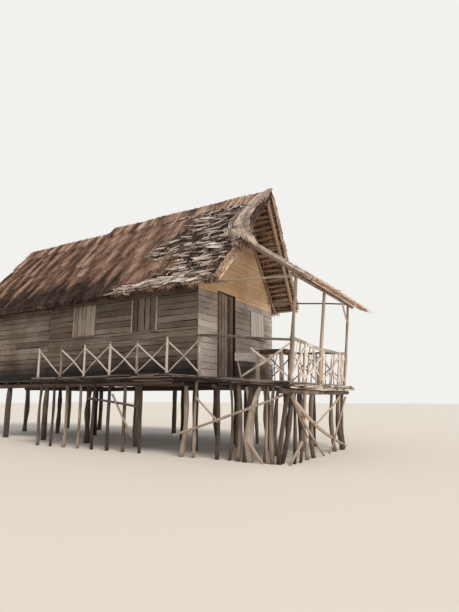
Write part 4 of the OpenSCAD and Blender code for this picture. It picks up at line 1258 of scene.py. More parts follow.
@dataclass
class Walls:
    """The lapped boards over the walls, which stay behind them as dark backing.

    The gable's window and the doorway are a distance from the near side, a width and a height.
    """

    row: float = 0.142
    thick: float = 0.012
    gable_window: Triple = (2.37, 0.73, 0.68)
    doorway: Triple = (0.76, 0.82, 1.96)
    tan_from: float = 1.78
    bench_shade_to: float = 0.42

    def build(self) -> None:
        """Lays the boards of the long walls and the gables, and paints the frame."""
        for node, look in (
            ("near_wall", Look.BACKING), ("far_wall", Look.BACKING), ("annex_walls", Look.BACKING),
            ("rear_gable_wall", Look.BACKING_Y), ("gable_panels", Look.BACKING_Y), ("front_gable", Look.BACKING_Y),
            ("wall_posts", Look.FRAME), ("wall_plates", Look.PLATE), ("door_frame", Look.FRAME),
        ):
            paint(node, look)
        for name, side in (("near", -1), ("far", 1)):
            y = PLAN.y_near if side < 0 else PLAN.y_far
            self._long(f"{name}_wall_boards", y, side, PLAN.x_seam, PLAN.x_gable + self.thick, PLAN.z_plate + 0.05)
            self._long(f"{name}_annex_boards", y, side, PLAN.x_end, PLAN.x_seam - 0.012, PLAN.z_plate - 0.05)
        self._gable("front_gable_boards", PLAN.x_gable, 1, 0.0)
        self._gable("rear_gable_boards", PLAN.x_end, -1, PLAN.annex_drop)

    @staticmethod
    def _row_height(z: float, height: float, *edges: float) -> float:
        """Shortens a row so that it ends at an opening's edge.

        Args:
            z: where the row starts.
            height: its height.
            edges: heights of the openings' edges over the floor.

        Returns:
            The row's height.
        """
        for edge in edges:
            if z + 0.045 < PLAN.z_floor + edge < z + height:
                return PLAN.z_floor + edge - z
        return height

    @staticmethod
    def _holes(z0: float, z1: float) -> list[Pair]:
        """Finds what the windows take out of a long wall's row.

        Args:
            z0, z1: the row's lower and upper edge.

        Returns:
            The stretches along X.
        """
        low = PLAN.z_floor + PLAN.sill - 0.015
        high = PLAN.z_floor + PLAN.sill + PLAN.window[1] + 0.015
        if z1 < low + 0.03 or z0 > high - 0.03:
            return []
        return [(PLAN.x_gable - d - PLAN.window[0] - 0.01, PLAN.x_gable - d + 0.01) for d in PLAN.window_x]

    @staticmethod
    def _run(rng: np.random.Generator, x0: float, x1: float, holes: list[Pair]) -> list[Pair]:
        """Splits a row into boards of random length.

        Args:
            rng: the source of random numbers.
            x0, x1: the row's ends.
            holes: the stretches that stay free.

        Returns:
            Both ends of each board.
        """
        free, at = [], x0
        for a, b in sorted(holes):
            if b <= x0 or a >= x1:
                continue
            if a > at:
                free.append((at, a))
            at = b
        if at < x1:
            free.append((at, x1))
        boards = []
        for a, b in free:
            while b - a > 2.6:
                cut = a + rng.uniform(1.1, 2.3)
                boards.append((a, cut - 0.004))
                a = cut
            boards.append((a, b))
        return boards

    def _long(self, name: str, y: float, side: int, x0: float, x1: float, top: float) -> None:
        """Lays a long wall's rows from the floor up to the plate.

        Args:
            name: the piece's name.
            y: place of the wall's face.
            side: -1 for the near wall and 1 for the far one.
            x0, x1: the wall's ends.
            top: where the rows end.
        """
        piece = Piece(name, Look.WALL)
        rng = piece.rng
        z = PLAN.z_floor
        while z < top - 0.03:
            height = min(self.row * rng.uniform(0.82, 1.15), top - z)
            height = self._row_height(z, height, PLAN.sill, PLAN.sill + PLAN.window[1])
            # Rows are darker at the floor and under the eave: painted shade with some dirt at the foot, and painted
            # eave shadow at the top.
            tone = np.interp(z - PLAN.z_floor, [0, 0.15, 0.4, 0.9, 1.6, 1.95], [-0.35, 0.0, 0.4, 0.58, 0.5, 0.2])
            for a, b in self._run(rng, x0, x1, self._holes(z, z + height)):
                tilt = rng.normal(0, 0.0035)
                middle = z + height / 2
                back = y + side * rng.uniform(0.0, 0.004)
                piece.board(
                    vec(a, back, middle - tilt), vec(b, back, middle + tilt), vec(0, side, 0),
                    height - rng.uniform(0.004, 0.011), self.thick, 0.006, 0.008, 0.007, tint=rng.normal(tone, 0.17),
                )
            z += height
        piece.finish()

    def _gable(self, name: str, x: float, side: int, drop: float) -> None:
        """Lays a gable's rows, cut to the slopes, round the doorway and the window.

        Args:
            name: the lower piece's name.
            x: place of the wall's face.
            side: 1 for the front gable, which has both openings, and -1 for the rear one.
            drop: step down of the roof over it.
        """
        front = side > 0
        lower = Piece(name, Look.PALE if front else Look.WALL)
        upper = Piece(f"{name}_upper", Look.TAN) if front else lower
        rng = lower.rng
        tan, out = math.tan(PLAN.pitch), vec(side, 0, 0)
        door_y, door_w, door_h = self.doorway
        window_y, window_w, window_h = self.gable_window
        door_top, sill = PLAN.z_floor + door_h, PLAN.z_floor + PLAN.sill
        z, base = PLAN.z_floor, PLAN.z_face - drop - 0.04
        while z < PLAN.z_apex - drop - 0.2:
            height = self.row * rng.uniform(0.85, 1.12)
            if front:
                height = self._row_height(z, height, PLAN.sill, PLAN.sill + window_h, door_h)
            middle = z + height / 2
            inset = max(0.0, (middle - base) / tan)
            y0, y1 = PLAN.y_near + inset, PLAN.y_far - inset
            if y1 - y0 < 0.25:
                break
            lean = height / 2 / tan if inset > 0 else 0.0
            holes = []
            if front and z < door_top - 0.02:
                holes.append((PLAN.y_near + door_y, PLAN.y_near + door_y + door_w))
            if front and z + height > sill and z < sill + window_h:
                start = PLAN.y_near + window_y
                holes.append((start - 0.01, start + window_w + 0.01))
            top = min(z + height, door_top) if holes and z < door_top else z + height
            tan_row = front and z > PLAN.z_floor + self.tan_from
            piece = upper if tan_row else lower
            for a, b in self._run(rng, y0, y1, holes):
                slants = (lean if a == y0 else 0.0, -lean if b == y1 else 0.0)
                tone = np.interp(z - PLAN.z_floor, [0, 1.2, 1.9, 4], [0.62, 0.6, 0.42, 0.5]) if front else 0.5
                # Boards right of the doorway, under the bench, are near black: painted shade under the bench.
                if front and z < PLAN.z_floor + self.bench_shade_to and a > PLAN.y_near + door_y:
                    tone = -0.3
                piece.board(
                    vec(x, a, middle), vec(x, b, middle + rng.normal(0, 0.003)), out,
                    min(height, 2 * (top - middle)) - rng.uniform(0.001, 0.004 if tan_row else 0.008), self.thick,
                    0.003 if tan_row else 0.005, 0.006, 0.006, slants=slants, tint=rng.normal(tone, 0.13),
                )
            z += height
        lower.finish()
        if front:
            # A barge board under the near slope's edge; its tint of 1.2, the lightest, is painted sunlight.
            foot, head = (PLAN.on_slope(1, PLAN.verge(1, s) + 0.01, s, -0.01) for s in (3.12, 2.3))
            upper.board(foot, head, out, 0.12, 0.018, 0.003, 0.02, 0.004, tint=1.2)
            upper.finish()


@dataclass
class Openings:
    """The plank door on its rusty straps, and the shutters that stay shut."""

    planks: tuple[float, ...] = (0.15, 0.125, 0.14, 0.12, 0.135, 0.137)
    ledges: Pair = (0.35, 1.61)
    shutter_t: float = 0.022
    cover: float = 0.015

    def build(self) -> None:
        """Lays the door's planks and the shutters' boards."""
        paint("door_straps", Look.IRON)
        paint("door_pintles", Look.IRON)
        self._door()
        self._long_shutters()
        self._gable_shutter()

    def _door(self) -> None:
        """Lays the door's upright planks and its two ledges."""
        piece = Piece("door_planks_boards", Look.DOOR, DOOR)
        lo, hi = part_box("door_planks")
        rng, out = piece.rng, vec(1, 0, 0)
        scale = (hi.y - lo.y) / sum(self.planks)
        y = lo.y
        for width in self.planks:
            w = width * scale
            ends = (lo.z + rng.uniform(0.0, 0.012), hi.z - rng.uniform(0.0, 0.012))
            a, b = (vec(hi.x - 0.024, y + w / 2, z) for z in ends)
            piece.board(a, b, out, w - 0.013, 0.0225, 0.0015, 0.0, 0.006)
            y += w
        for level in self.ledges:
            a, b = (vec(lo.x, spot, PLAN.z_floor + level) for spot in (lo.y + 0.004, hi.y - 0.004))
            piece.board(a, b, out, 0.115, 0.0245, 0.0, 0.0, 0.003)
        piece.finish("door_planks")

    def _shutter(self, boards: Piece, trim: Piece, lo: Array, hi: Array, out: Array, count: int, gap: float) -> None:
        """Lays a shutter's upright boards, and three thin slats round it.

        Args:
            boards, trim: the pieces that they join.
            lo, hi: the shutter's box.
            out: the direction it looks.
            count: how many boards it has.
            gap: the gap between them.
        """
        flat = 0 if abs(out[1]) > 0.5 else 1
        back = 1 - flat
        depth = lo[back] if out[back] > 0 else hi[back]
        rng = boards.rng

        def spot(at: float, z: float) -> Array:
            """A point on the shutter's back."""
            return vec(at, depth, z) if flat == 0 else vec(depth, at, z)

        widths = rng.uniform(0.8, 1.2, count)
        widths *= (hi[flat] - lo[flat]) / widths.sum()
        at = lo[flat]
        for w in widths:
            a, b = (spot(at + w / 2, z) for z in (lo[2] + rng.uniform(0, 0.012), hi[2] - rng.uniform(0, 0.012)))
            boards.board(a, b, out, w - gap, 0.018, 0.003, 0.004, 0.005, tint=rng.uniform(0.2, 0.8))
            at += w
        depth += out[back] * 0.004
        left, right, low, high = lo[flat], hi[flat], lo[2], hi[2]
        for p, z0, q, z1 in ((left, low, left, high), (right, low, right, high), (left - 0.03, low, right + 0.03, low)):
            tone = 0.9 if p == q else 0.1
            trim.board(spot(p, z0), spot(q, z1), out, 0.04, 0.022, 0.003, 0.004, 0.003, tint=tone)

    def _long_shutters(self) -> None:
        """Lays the four shutters of the long walls, the front ones darker and with wide gaps."""
        node = "long_wall_shutters"
        lo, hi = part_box(node)
        tan, dark = Piece("tan_shutter_boards", Look.SHUTTER), Piece("brown_shutter_boards", Look.SHUTTER_DARK)
        trim = Piece("long_shutter_trim", Look.SHUTTER)
        for side, y in ((-1, PLAN.y_near), (1, PLAN.y_far)):
            inner, outer = sorted((y, y + side * self.shutter_t))
            for piece, d, count, gap in ((dark, PLAN.window_x[0], 4, 0.022), (tan, PLAN.window_x[1], 5, 0.008)):
                a = vec(PLAN.x_gable - d - PLAN.window[0] - self.cover, inner, lo.z)
                b = vec(PLAN.x_gable - d + self.cover, outer, hi.z)
                self._shutter(piece, trim, a, b, vec(0, side, 0), count, gap)
        tan.finish(node)
        dark.finish(node)
        trim.finish()

    def _gable_shutter(self) -> None:
        """Lays the pale shutter of the gable in its thin dark frame."""
        node = "gable_shutter"
        lo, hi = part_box(node)
        pale, trim = Piece("gable_shutter_boards", Look.SHUTTER_PALE), Piece("gable_shutter_trim", Look.DOOR)
        self._shutter(pale, trim, vec(*lo), vec(*hi), vec(1, 0, 0), 5, 0.008)
        pale.finish(node)
        trim.finish()


class Line:
    """A bent line that is followed by its length."""

    def __init__(self, points: list[Any]) -> None:
        """Measures the line."""
        self.points = np.array(points)
        self.reach = np.cumsum(np.r_[0, np.linalg.norm(np.diff(self.points, axis=0), axis=1)])

    def at(self, distance: Array) -> Array:
        """The points at these distances along it."""
        return np.stack([np.interp(distance, self.reach, part) for part in self.points.T], -1)


def ridgeward(rng: np.random.Generator, many: int, share: float) -> Array:
    """Draws directions along the ridge, this share of them to the front and the others to the rear."""
    return np.where(rng.uniform(0, 1, many) < share, 1.0, -1.0)[:, None] * vec(1, 0, 0)


@dataclass
class Roof:
    """The main roof and the annex's: poles, packed thatch, loose leaves over it and under it.

    The rafters at the front edges have a share of their solid's radius and a tone of their own. A row along the
    eave is a height over the thatch's underside, how far back its roots lie and how much it droops.
    """

    pitch_x: float = 0.0195
    rows_a_course: int = 2
    flare_leaves: int = 3000
    sweep_stalks: int = 1500
    tuft: int = 12
    edge_rafters: dict[str, Pair] = field(
        default_factory=lambda: {"far_rafters": (1.3, 0.95), "near_rafters": (0.8, 0.1)}
    )
    eave_rows: tuple[Triple, ...] = (
        (0.005, 0.14, 0.3), (0.05, 0.14, 0.5), (0.1, 0.14, 0.6), (0.13, 0.17, 0.35), (0.14, 0.1, 0.9),
    )
    waves: Ripple = field(default_factory=lambda: Ripple(11, (1.3, 1.0)))
    streaks: Ripple = field(default_factory=lambda: Ripple(23, (0.55, 3.6), 11))
    strands: Ripple = field(default_factory=lambda: Ripple(29, (0.09, 1.6), 11))
    patches: Ripple = field(default_factory=lambda: Ripple(31, (0.8, 0.8), 9))

    def build(self) -> None:
        """Dresses the roof from its poles to its ridge."""
        for node in ("ridge_pole", "near_rafters", "far_rafters", "near_battens", "far_battens"):
            piece = Piece(f"{node}_sticks", Look.ROOF_POLE)
            for a, b, r in frame_poles(node):
                share, tone = 1.0, None
                if node in self.edge_rafters and min(a[0], b[0]) > PLAN.x_gable + 0.3:
                    share, tone = self.edge_rafters[node]
                piece.pole(a, b, share * r, share * r, 0.002, 0.12, thin="battens" in node, tint=tone)
            if node == "far_rafters":
                ends = (PLAN.x_gable - 0.6, PLAN.x_gable + PLAN.far_out - 0.02)
                a, b = (PLAN.on_slope(-1, x, PLAN.slope, -0.02) for x in ends)
                piece.pole(a, b, 0.03, 0.026, 0.004, 0.12, tint=1.3)
            piece.finish(node)
        for node in ("near_thatch", "far_thatch", "annex_thatch", "ridge_cap"):
            paint(node, Look.BED)
        for part, drop in (("thatch", 0.0), ("annex", PLAN.annex_drop)):
            self._slope(f"near_{part}_leaves", 1, drop)
            self._slope(f"far_{part}_leaves", -1, drop)
        self._shingles()
        self._flare()
        self._sweep()
        self._underside("near_thatch_underside", 1)
        self._underside("far_thatch_underside", -1)
        self._ridge()
        self._eaves()
        self._verges()

    @staticmethod
    def _extent(side: int, s: float, drop: float) -> Pair:
        """Finds a slope's two ends along X.

        Args:
            side: 1 for near, -1 for far.
            s: distance down it.
            drop: step down of its roof.

        Returns:
            Its rear and its front end.
        """
        if drop:
            return PLAN.x_end - PLAN.rear_out, PLAN.x_roof_seam
        return PLAN.x_roof_seam, PLAN.verge(side, s)

    def _hump(self, x: Any, s: Any) -> Any:
        """How far the loose thatch stands up over its bed, in soft humps."""
        return 0.016 * (self.waves.at(x, s) + 1.0)

    @staticmethod
    def _eave_shadow_damp(side: int, x: Any) -> Any:
        """How dark the near eave is at x, from 0 to 1, with painted shadow together with mould: its front part stays
        clear of both.
        """
        return np.clip((-1.7 - x) / 0.9, 0, 1) * (side > 0)

    def _front(self, x: Any, s: Any) -> Any:
        """How far a place lies in the near slope's broken front, from 0 to 1."""
        edge = -1.35 + 0.35 * self.waves.at(s, 2.0) + 0.12 * (s - 1.5)
        return np.clip((x - edge) / 0.3, 0, 1)

    def _slope(self, name: str, side: int, drop: float) -> None:
        """Lays rows of fine leaf over one slope, each row's tips over the next row's roots.

        Args:
            name: the piece's name.
            side: 1 for near, -1 for far.
            drop: step down of its roof, with which it is the annex's.
        """
        piece = Piece(name, Look.LEAF)
        rng = piece.rng
        down, out = PLAN.slope_axes(side)
        length = PLAN.length_down(drop)
        step = (PLAN.slope - PLAN.cap_reach) / PLAN.courses
        pitch = self.pitch_x * (1.3 if drop or side < 0 else 1.0)
        for i in range(int((length - 0.2) / step * self.rows_a_course) + 1):
            s_tip = 0.34 + i * step / self.rows_a_course
            if s_tip > length + 0.02:
                break
            x0, x1 = self._extent(side, s_tip, drop)
            x = piece.spread(x0 + 0.01, x1 - 0.01, pitch, 0.4 * pitch)
            if side > 0 and not drop:
                x = x[rng.uniform(0, 1, len(x)) > 0.93 * self._front(x, s_tip)]
            tip = s_tip + 0.03 * self.waves.at(x, s_tip) + rng.normal(0, 0.05, len(x))
            root = np.maximum(tip - rng.uniform(0.3, 0.5, len(x)), 0.12)
            if not drop:
                x = np.minimum(x, PLAN.verge(side, root) - 0.02)
            surface = PLAN.thatch_top(np.minimum(root + 0.02, length)) - (0.02 if drop else 0.0)
            height = surface + 0.004 + self._hump(x, s_tip)
            tint = 0.43 + 0.15 * self.streaks.at(x, s_tip) + 0.10 * np.clip(self.patches.at(x, s_tip), -1, 1)
            # The annex's leaves are 0.08 darker: painted shade.
            tint += 0.06 * self.strands.at(x, s_tip) + rng.normal(0, 0.045, len(x)) - (0.08 if drop else 0.0)
            low = np.clip((s_tip - length + 0.6 + 0.2 * self.waves.at(2 * x, 1.0)) / 0.4, 0, 1)
            # Towards the eave and the rear, the slope is darkened: painted shadow together with mould.
            tint -= 0.38 * self._eave_shadow_damp(side, x) * low
            roots = PLAN.on_slope(side, x, root, height, drop)
            piece.leaves(roots, down, out, tip - root, (0.014, 0.028), tint, 0.014, 0.005, 0.045, 0.008)
        piece.finish()

    def _shingles(self) -> None:
        """Lays the broken, bleached palm strips along the near slope's front, with dark gaps under them."""
        strips, ends = Piece("near_broken_strips", Look.PALE_LEAF), Piece("near_broken_ends", Look.PALE_LEAF)
        down, out = PLAN.slope_axes(1)
        s = 0.30
        while s < PLAN.slope + 0.02:
            x_front = PLAN.verge(1, s) - np.interp(s, [0, 0.5, 1.0, 1.95, 2.05], [0.02, 0.18, 0.36, 0.42, 0.02])
            for piece, pitch in ((strips, 0.115), (ends, 0.06)):
                rng = piece.rng
                x = piece.spread(-1.8, x_front - (0.12 if piece is strips else 0.0), pitch, 0.3 * pitch)
                hole = self.patches.at(1.6 * x + 5, 2.6 * s)
                x = x[(rng.uniform(0, 1, len(x)) < 0.9 * self._front(x, s)) & (hole > -0.35)]
                at = s + rng.normal(0, 0.018, len(x))
                lift = PLAN.thatch_top(np.minimum(at, PLAN.slope)) + 0.012 + self._hump(x, s)
                tint = 0.48 + 0.14 * self.patches.at(x, s) + rng.normal(0, 0.27, len(x))
                if piece is strips:
                    way = ridgeward(rng, len(x), 0.6)
                    room = np.where(way[:, 0] > 0, x_front - x, 1.0) + 0.05
                    long = np.maximum(np.minimum(rng.uniform(0.16, 0.46, len(x)), room), 0.1)
                    roots = PLAN.on_slope(1, x, at, lift + 0.022)
                    piece.leaves(roots, way, out, long, (0.035, 0.075), tint, 0.01, 0.034, 0.13, 0.008)
                else:
                    roots = PLAN.on_slope(1, x, at - 0.08, lift)
                    # These ends lie in the gaps under the strips and are darkened by 0.4: painted shade under the
                    # strips.
                    piece.leaves(roots, down, out, (0.09, 0.2), (0.025, 0.05), tint - 0.4, 0.016, 0.016, 0.25, 0.007)
            s += 0.104
        strips.finish()
        ends.finish()

    def _flare(self) -> None:
        """Lays the fine grey thatch that follows the near slope's front edge and sweeps on to the porch roof."""
        piece = Piece("front_edge_sweep", Look.PALE_LEAF)
        rng, many = piece.rng, self.flare_leaves
        down, out = PLAN.slope_axes(1)
        backs = ((-0.1, 0.0), (0.55, 0.04), (1.05, 0.07), (1.3, 0.10), (1.62, 0.14), (1.92, 0.18))
        line = Line([(PLAN.verge(1, max(s, 0.0)) - back, s) for s, back in backs])
        share = rng.uniform(0, 1, many) ** 0.85
        total = line.reach[-1]
        spot = line.at(share * total)
        run = unit(line.at(np.minimum(share + 0.05, 1.0) * total) - spot + 1e-4)
        inside = rng.uniform(0.0, 1.0, many) ** 1.3 * np.interp(share, [0, 0.3, 0.6, 1], [0.14, 0.38, 0.5, 0.36])
        x, s = spot[:, 0] - inside * run[:, 1], spot[:, 1] + inside * run[:, 0]
        along = unit(run[:, :1] * vec(1, 0, 0) + run[:, 1:] * down)
        height = PLAN.thatch_top(np.clip(s, 0, PLAN.slope)) + 0.01 + 0.9 * self._hump(x, s) + rng.uniform(0, 0.02, many)
        height = height + np.where(s < 0.3, 0.05, 0.0)
        tint = 0.5 + 0.1 * self.streaks.at(inside * 2, share) + rng.normal(0, 0.1, many)
        start = PLAN.on_slope(1, x, s, height) - along * 0.12
        piece.leaves(start, along, out, (0.22, 0.42), (0.016, 0.034), tint, 0.0, 0.008, 0.06, 0.006)
        piece.finish()

    def _sweep(self) -> None:
        """Lays long stalks in one curve from the slope's front edge down the porch roof's near edge."""
        piece = Piece("porch_edge_sweep", Look.STRAW)
        rng, many = piece.rng, self.sweep_stalks
        roof = ((1.2, 0.13, 0.10), (1.55, 0.09, 0.10), (1.82, 0.05, 0.08))
        porch = ((1.32, 0.17, 0.045), (1.65, -0.08, 0.02), (2.3, -0.57, 0.01), (2.85, -0.98, 0.005))
        line = Line([PLAN.on_slope(1, PLAN.verge(1, s) - back, s, h) for s, back, h in roof]
                    + [PLAN.porch_at(*place) for place in porch])
        total = line.reach[-1]
        at = total * rng.uniform(0, 1, many) ** 1.3
        spot, ahead, behind = (line.at(np.clip(at + d, 0, total)) for d in (0.0, 0.12, -0.12))
        along = unit(ahead - behind)
        share = (at / total)[:, None]
        up = mix(PLAN.slope_axes(1)[1], PLAN.porch_axes()[1], np.clip(3 * share, 0, 1))
        up = unit(up - along * (up * along).sum(1, keepdims=True))
        spread = np.interp(share, [0, 0.2, 0.33, 0.5, 1], [0.22, 0.2, 0.12, 0.05, 0.02])
        side = np.cross(along, up) * np.abs(rng.normal(0, 1, (many, 1))) * spread
        start = spot - along * 0.12 + side + up * rng.uniform(-0.02, 0.006, (many, 1))
        tint = (np.interp(share[:, 0], [0.2, 0.5], [0.52, 0.66]), 0.17)
        piece.leaves(start, along, up, (0.2, 0.42), (0.012, 0.024), tint, -0.002, 0.008, 0.08, 0.005)
        piece.finish()

    def _underside(self, name: str, side: int) -> None:
        """Lays the rows of folded leaf, one on each batten, that show under the roof.

        Args:
            name: the piece's name.
            side: 1 for near, -1 for far.
        """
        piece = Piece(name, Look.UNDER)
        rng = piece.rng
        down, out = PLAN.slope_axes(side)
        places = 0.12 + 0.15 * np.arange(20)
        for s in places[places <= PLAN.slope - 0.05]:
            x0 = PLAN.x_gable + 0.03 if s < PLAN.slope - 0.35 else PLAN.x_roof_seam
            x1 = PLAN.verge(side, s) - 0.03
            for hangs, pitch, h, long, wide in ((True, 0.032, -0.006, 0.115, 0.04), (False, 0.1, -0.022, 0.42, 0.07)):
                x = piece.spread(x0, x1 - (0.0 if hangs else 0.36), pitch, 0.3 * pitch)
                spot = s + (rng.normal(0, 0.006, len(x)) if hangs else rng.uniform(-0.012, 0.02, len(x)))
                # Leaves folded over each batten are dark: painted shade in the gaps between the rows.
                tint = (0.16 if hangs else 0.44) + rng.normal(0, 0.09, len(x)) + 0.08 * self.patches.at(x, s)
                piece.leaves(
                    PLAN.on_slope(side, x, spot, h), down if hangs else vec(1, 0, 0), -out,
                    long * rng.uniform(0.8, 1.2, len(x)), wide * rng.uniform(0.7, 1.2, len(x)), tint,
                    0.012 if hangs else 0.0, 0.005, 0.06, 0.006,
                )
        piece.finish()

    def _ridge(self) -> None:
        """Drapes short bundles over both sides of the ridge caps, with a tuft that stands up at the peak."""
        piece = Piece("ridge_cap_leaves", Look.LEAF)
        rng = piece.rng
        peak = PLAN.x_gable + PLAN.ridge_out
        for side in (1, -1):
            down, out = PLAN.slope_axes(side)
            for x0, x1, drop in (
                (PLAN.x_roof_seam, peak - 0.02, 0.0), (PLAN.x_end - PLAN.rear_out, PLAN.x_roof_seam, PLAN.annex_drop),
            ):
                for s0, reach in ((-0.12, 0.28), (-0.03, 0.34), (0.06, 0.30)):
                    x = piece.spread(x0 + 0.02, x1, 0.03, 0.012)
                    height = PLAN.thatch_low + 0.064 - (0.02 if drop else 0.0) + 0.010 * (self.waves.at(x, s0) + 1)
                    roots = PLAN.on_slope(side, x, s0 + rng.normal(0, 0.02, len(x)), height, drop)
                    tint = 0.46 + 0.18 * self.streaks.at(x, 0.0) + rng.normal(0, 0.1, len(x))
                    tint += 0.14 * np.clip(x + 1, 0, 1)
                    long = reach + rng.normal(0, 0.05, len(x))
                    piece.leaves(roots, down, out, long, (0.02, 0.045), tint, -0.012, 0.014, 0.14, 0.008)
        many = self.tuft
        x = peak - rng.uniform(0.02, 0.2, many)
        roots = np.stack([x, PLAN.y_mid + rng.normal(0, 0.03, many), np.full(many, PLAN.z_apex + 0.12)], -1)
        long, wide = rng.uniform(0.03, 0.08, many), np.full(many, 0.02)
        tint = rng.uniform(0.2, 0.6, many)
        piece.leaves(roots, unit(vec(0.75, 0, 0.3)), vec(-0.5, 0.0, 0.8), long, wide, tint, 0.0, 0.012, 0.25)
        piece.finish()

    def _eaves(self) -> None:
        """Hangs ragged ends from all the eaves, pale and curled at the near one's front."""
        piece, pale = Piece("eave_fringe", Look.LEAF), Piece("near_eave_pale_ends", Look.PALE_LEAF)
        rng = piece.rng
        for side in (1, -1):
            down, out = PLAN.slope_axes(side)
            for drop in (0.0, PLAN.annex_drop):
                length = PLAN.length_down(drop)
                x0, x1 = self._extent(side, length, drop)
                for h, back, heavy in self.eave_rows:
                    if side < 0 and not drop:
                        x1 = PLAN.x_gable + (0.0 if h < 0.09 else 0.1)
                    x = piece.spread(x0, x1, 0.024, 0.01)
                    shadow_damp = self._eave_shadow_damp(side, x)
                    roots = PLAN.on_slope(side, x, length - back, h - (0.03 if drop else 0), drop)
                    long = 0.2 + (0.05 if h > 0.12 else 0.0) + 0.035 * self.waves.at(3 * x, h)
                    long = np.clip(long + rng.normal(0, 0.035, len(x)) + 0.06 * shadow_damp * (h < 0.09), 0.1, 0.28)
                    # The fringe darkens towards the rear: painted shadow together with mould.
                    tint = 0.34 + 0.15 * self.streaks.at(x, 3.0) + rng.normal(0, 0.08, len(x)) - 0.32 * shadow_damp
                    droop = unit(down + vec(0, 0, -heavy))
                    piece.leaves(roots, droop, out, long, (0.018, 0.04), tint, -0.01, 0.012, 0.14)
        rng = pale.rng
        down, out = PLAN.slope_axes(1)
        for back, h in ((0.0, 0.125), (0.035, 0.14), (0.085, 0.15), (-0.02, 0.09), (-0.035, 0.06)):
            x = pale.spread(-1.95 + 4 * back, PLAN.x_gable + PLAN.near_out - 0.15, 0.07, 0.03)
            way = ridgeward(rng, len(x), 0.5)
            down_to = PLAN.slope - back + rng.normal(0, 0.015, len(x))
            roots = PLAN.on_slope(1, x, down_to, h + self._hump(x, PLAN.slope) - 0.01)
            pale.leaves(roots, way, out, (0.14, 0.4), (0.035, 0.075), (0.62, 0.2), 0.0, 0.024, 0.1, 0.009)
        piece.finish()
        pale.finish()

    def _verges(self) -> None:
        """Roughens the slopes' front and rear edges with short stalks laid along and across them."""
        piece = Piece("verge_stalks", Look.UNDER)
        rng = piece.rng
        seam, end = PLAN.x_roof_seam + 0.06, PLAN.x_end - PLAN.rear_out + 0.07
        for side in (1, -1):
            down, out = PLAN.slope_axes(side)
            for h, edge in ((0.0, None), (0.04, None), (0.08, None), (0.03, seam), (0.08, seam), (0.05, end)):
                t = piece.spread(0.05, PLAN.slope, 0.016, 0.01)
                x, sway, drop = edge, -0.9, PLAN.annex_drop if edge == end else 0.0
                if edge is None:
                    x, sway = PLAN.verge(side, t) - rng.uniform(0.08, 0.12, len(t)), 0.63
                if drop:
                    t = t * PLAN.length_down(drop) / PLAN.slope
                toward = unit(down + vec(sway, 0, 0))
                tint = 0.54 + rng.normal(0, 0.12, len(t))
                roots = PLAN.on_slope(side, x, t, h + rng.normal(0, 0.006, len(t)), drop)
                piece.leaves(roots, toward, out, (0.07, 0.15), (0.015, 0.035), tint, 0.0, 0.01, 0.22, 0.006)
            for h in (-0.01, 0.02, 0.05, 0.08, 0.11):
                t = piece.spread(0.0 if side < 0 else 2.0, PLAN.slope - 0.2, 0.03, 0.02)
                x = PLAN.verge(side, t) + rng.uniform(-0.005, 0.012, len(t))
                roots = PLAN.on_slope(side, x, t, h)
                piece.leaves(roots, down, vec(1, 0, 0), (0.14, 0.28), (0.03, 0.055), (0.5, 0.13), 0.002, 0.004, 0.07)
        piece.finish()


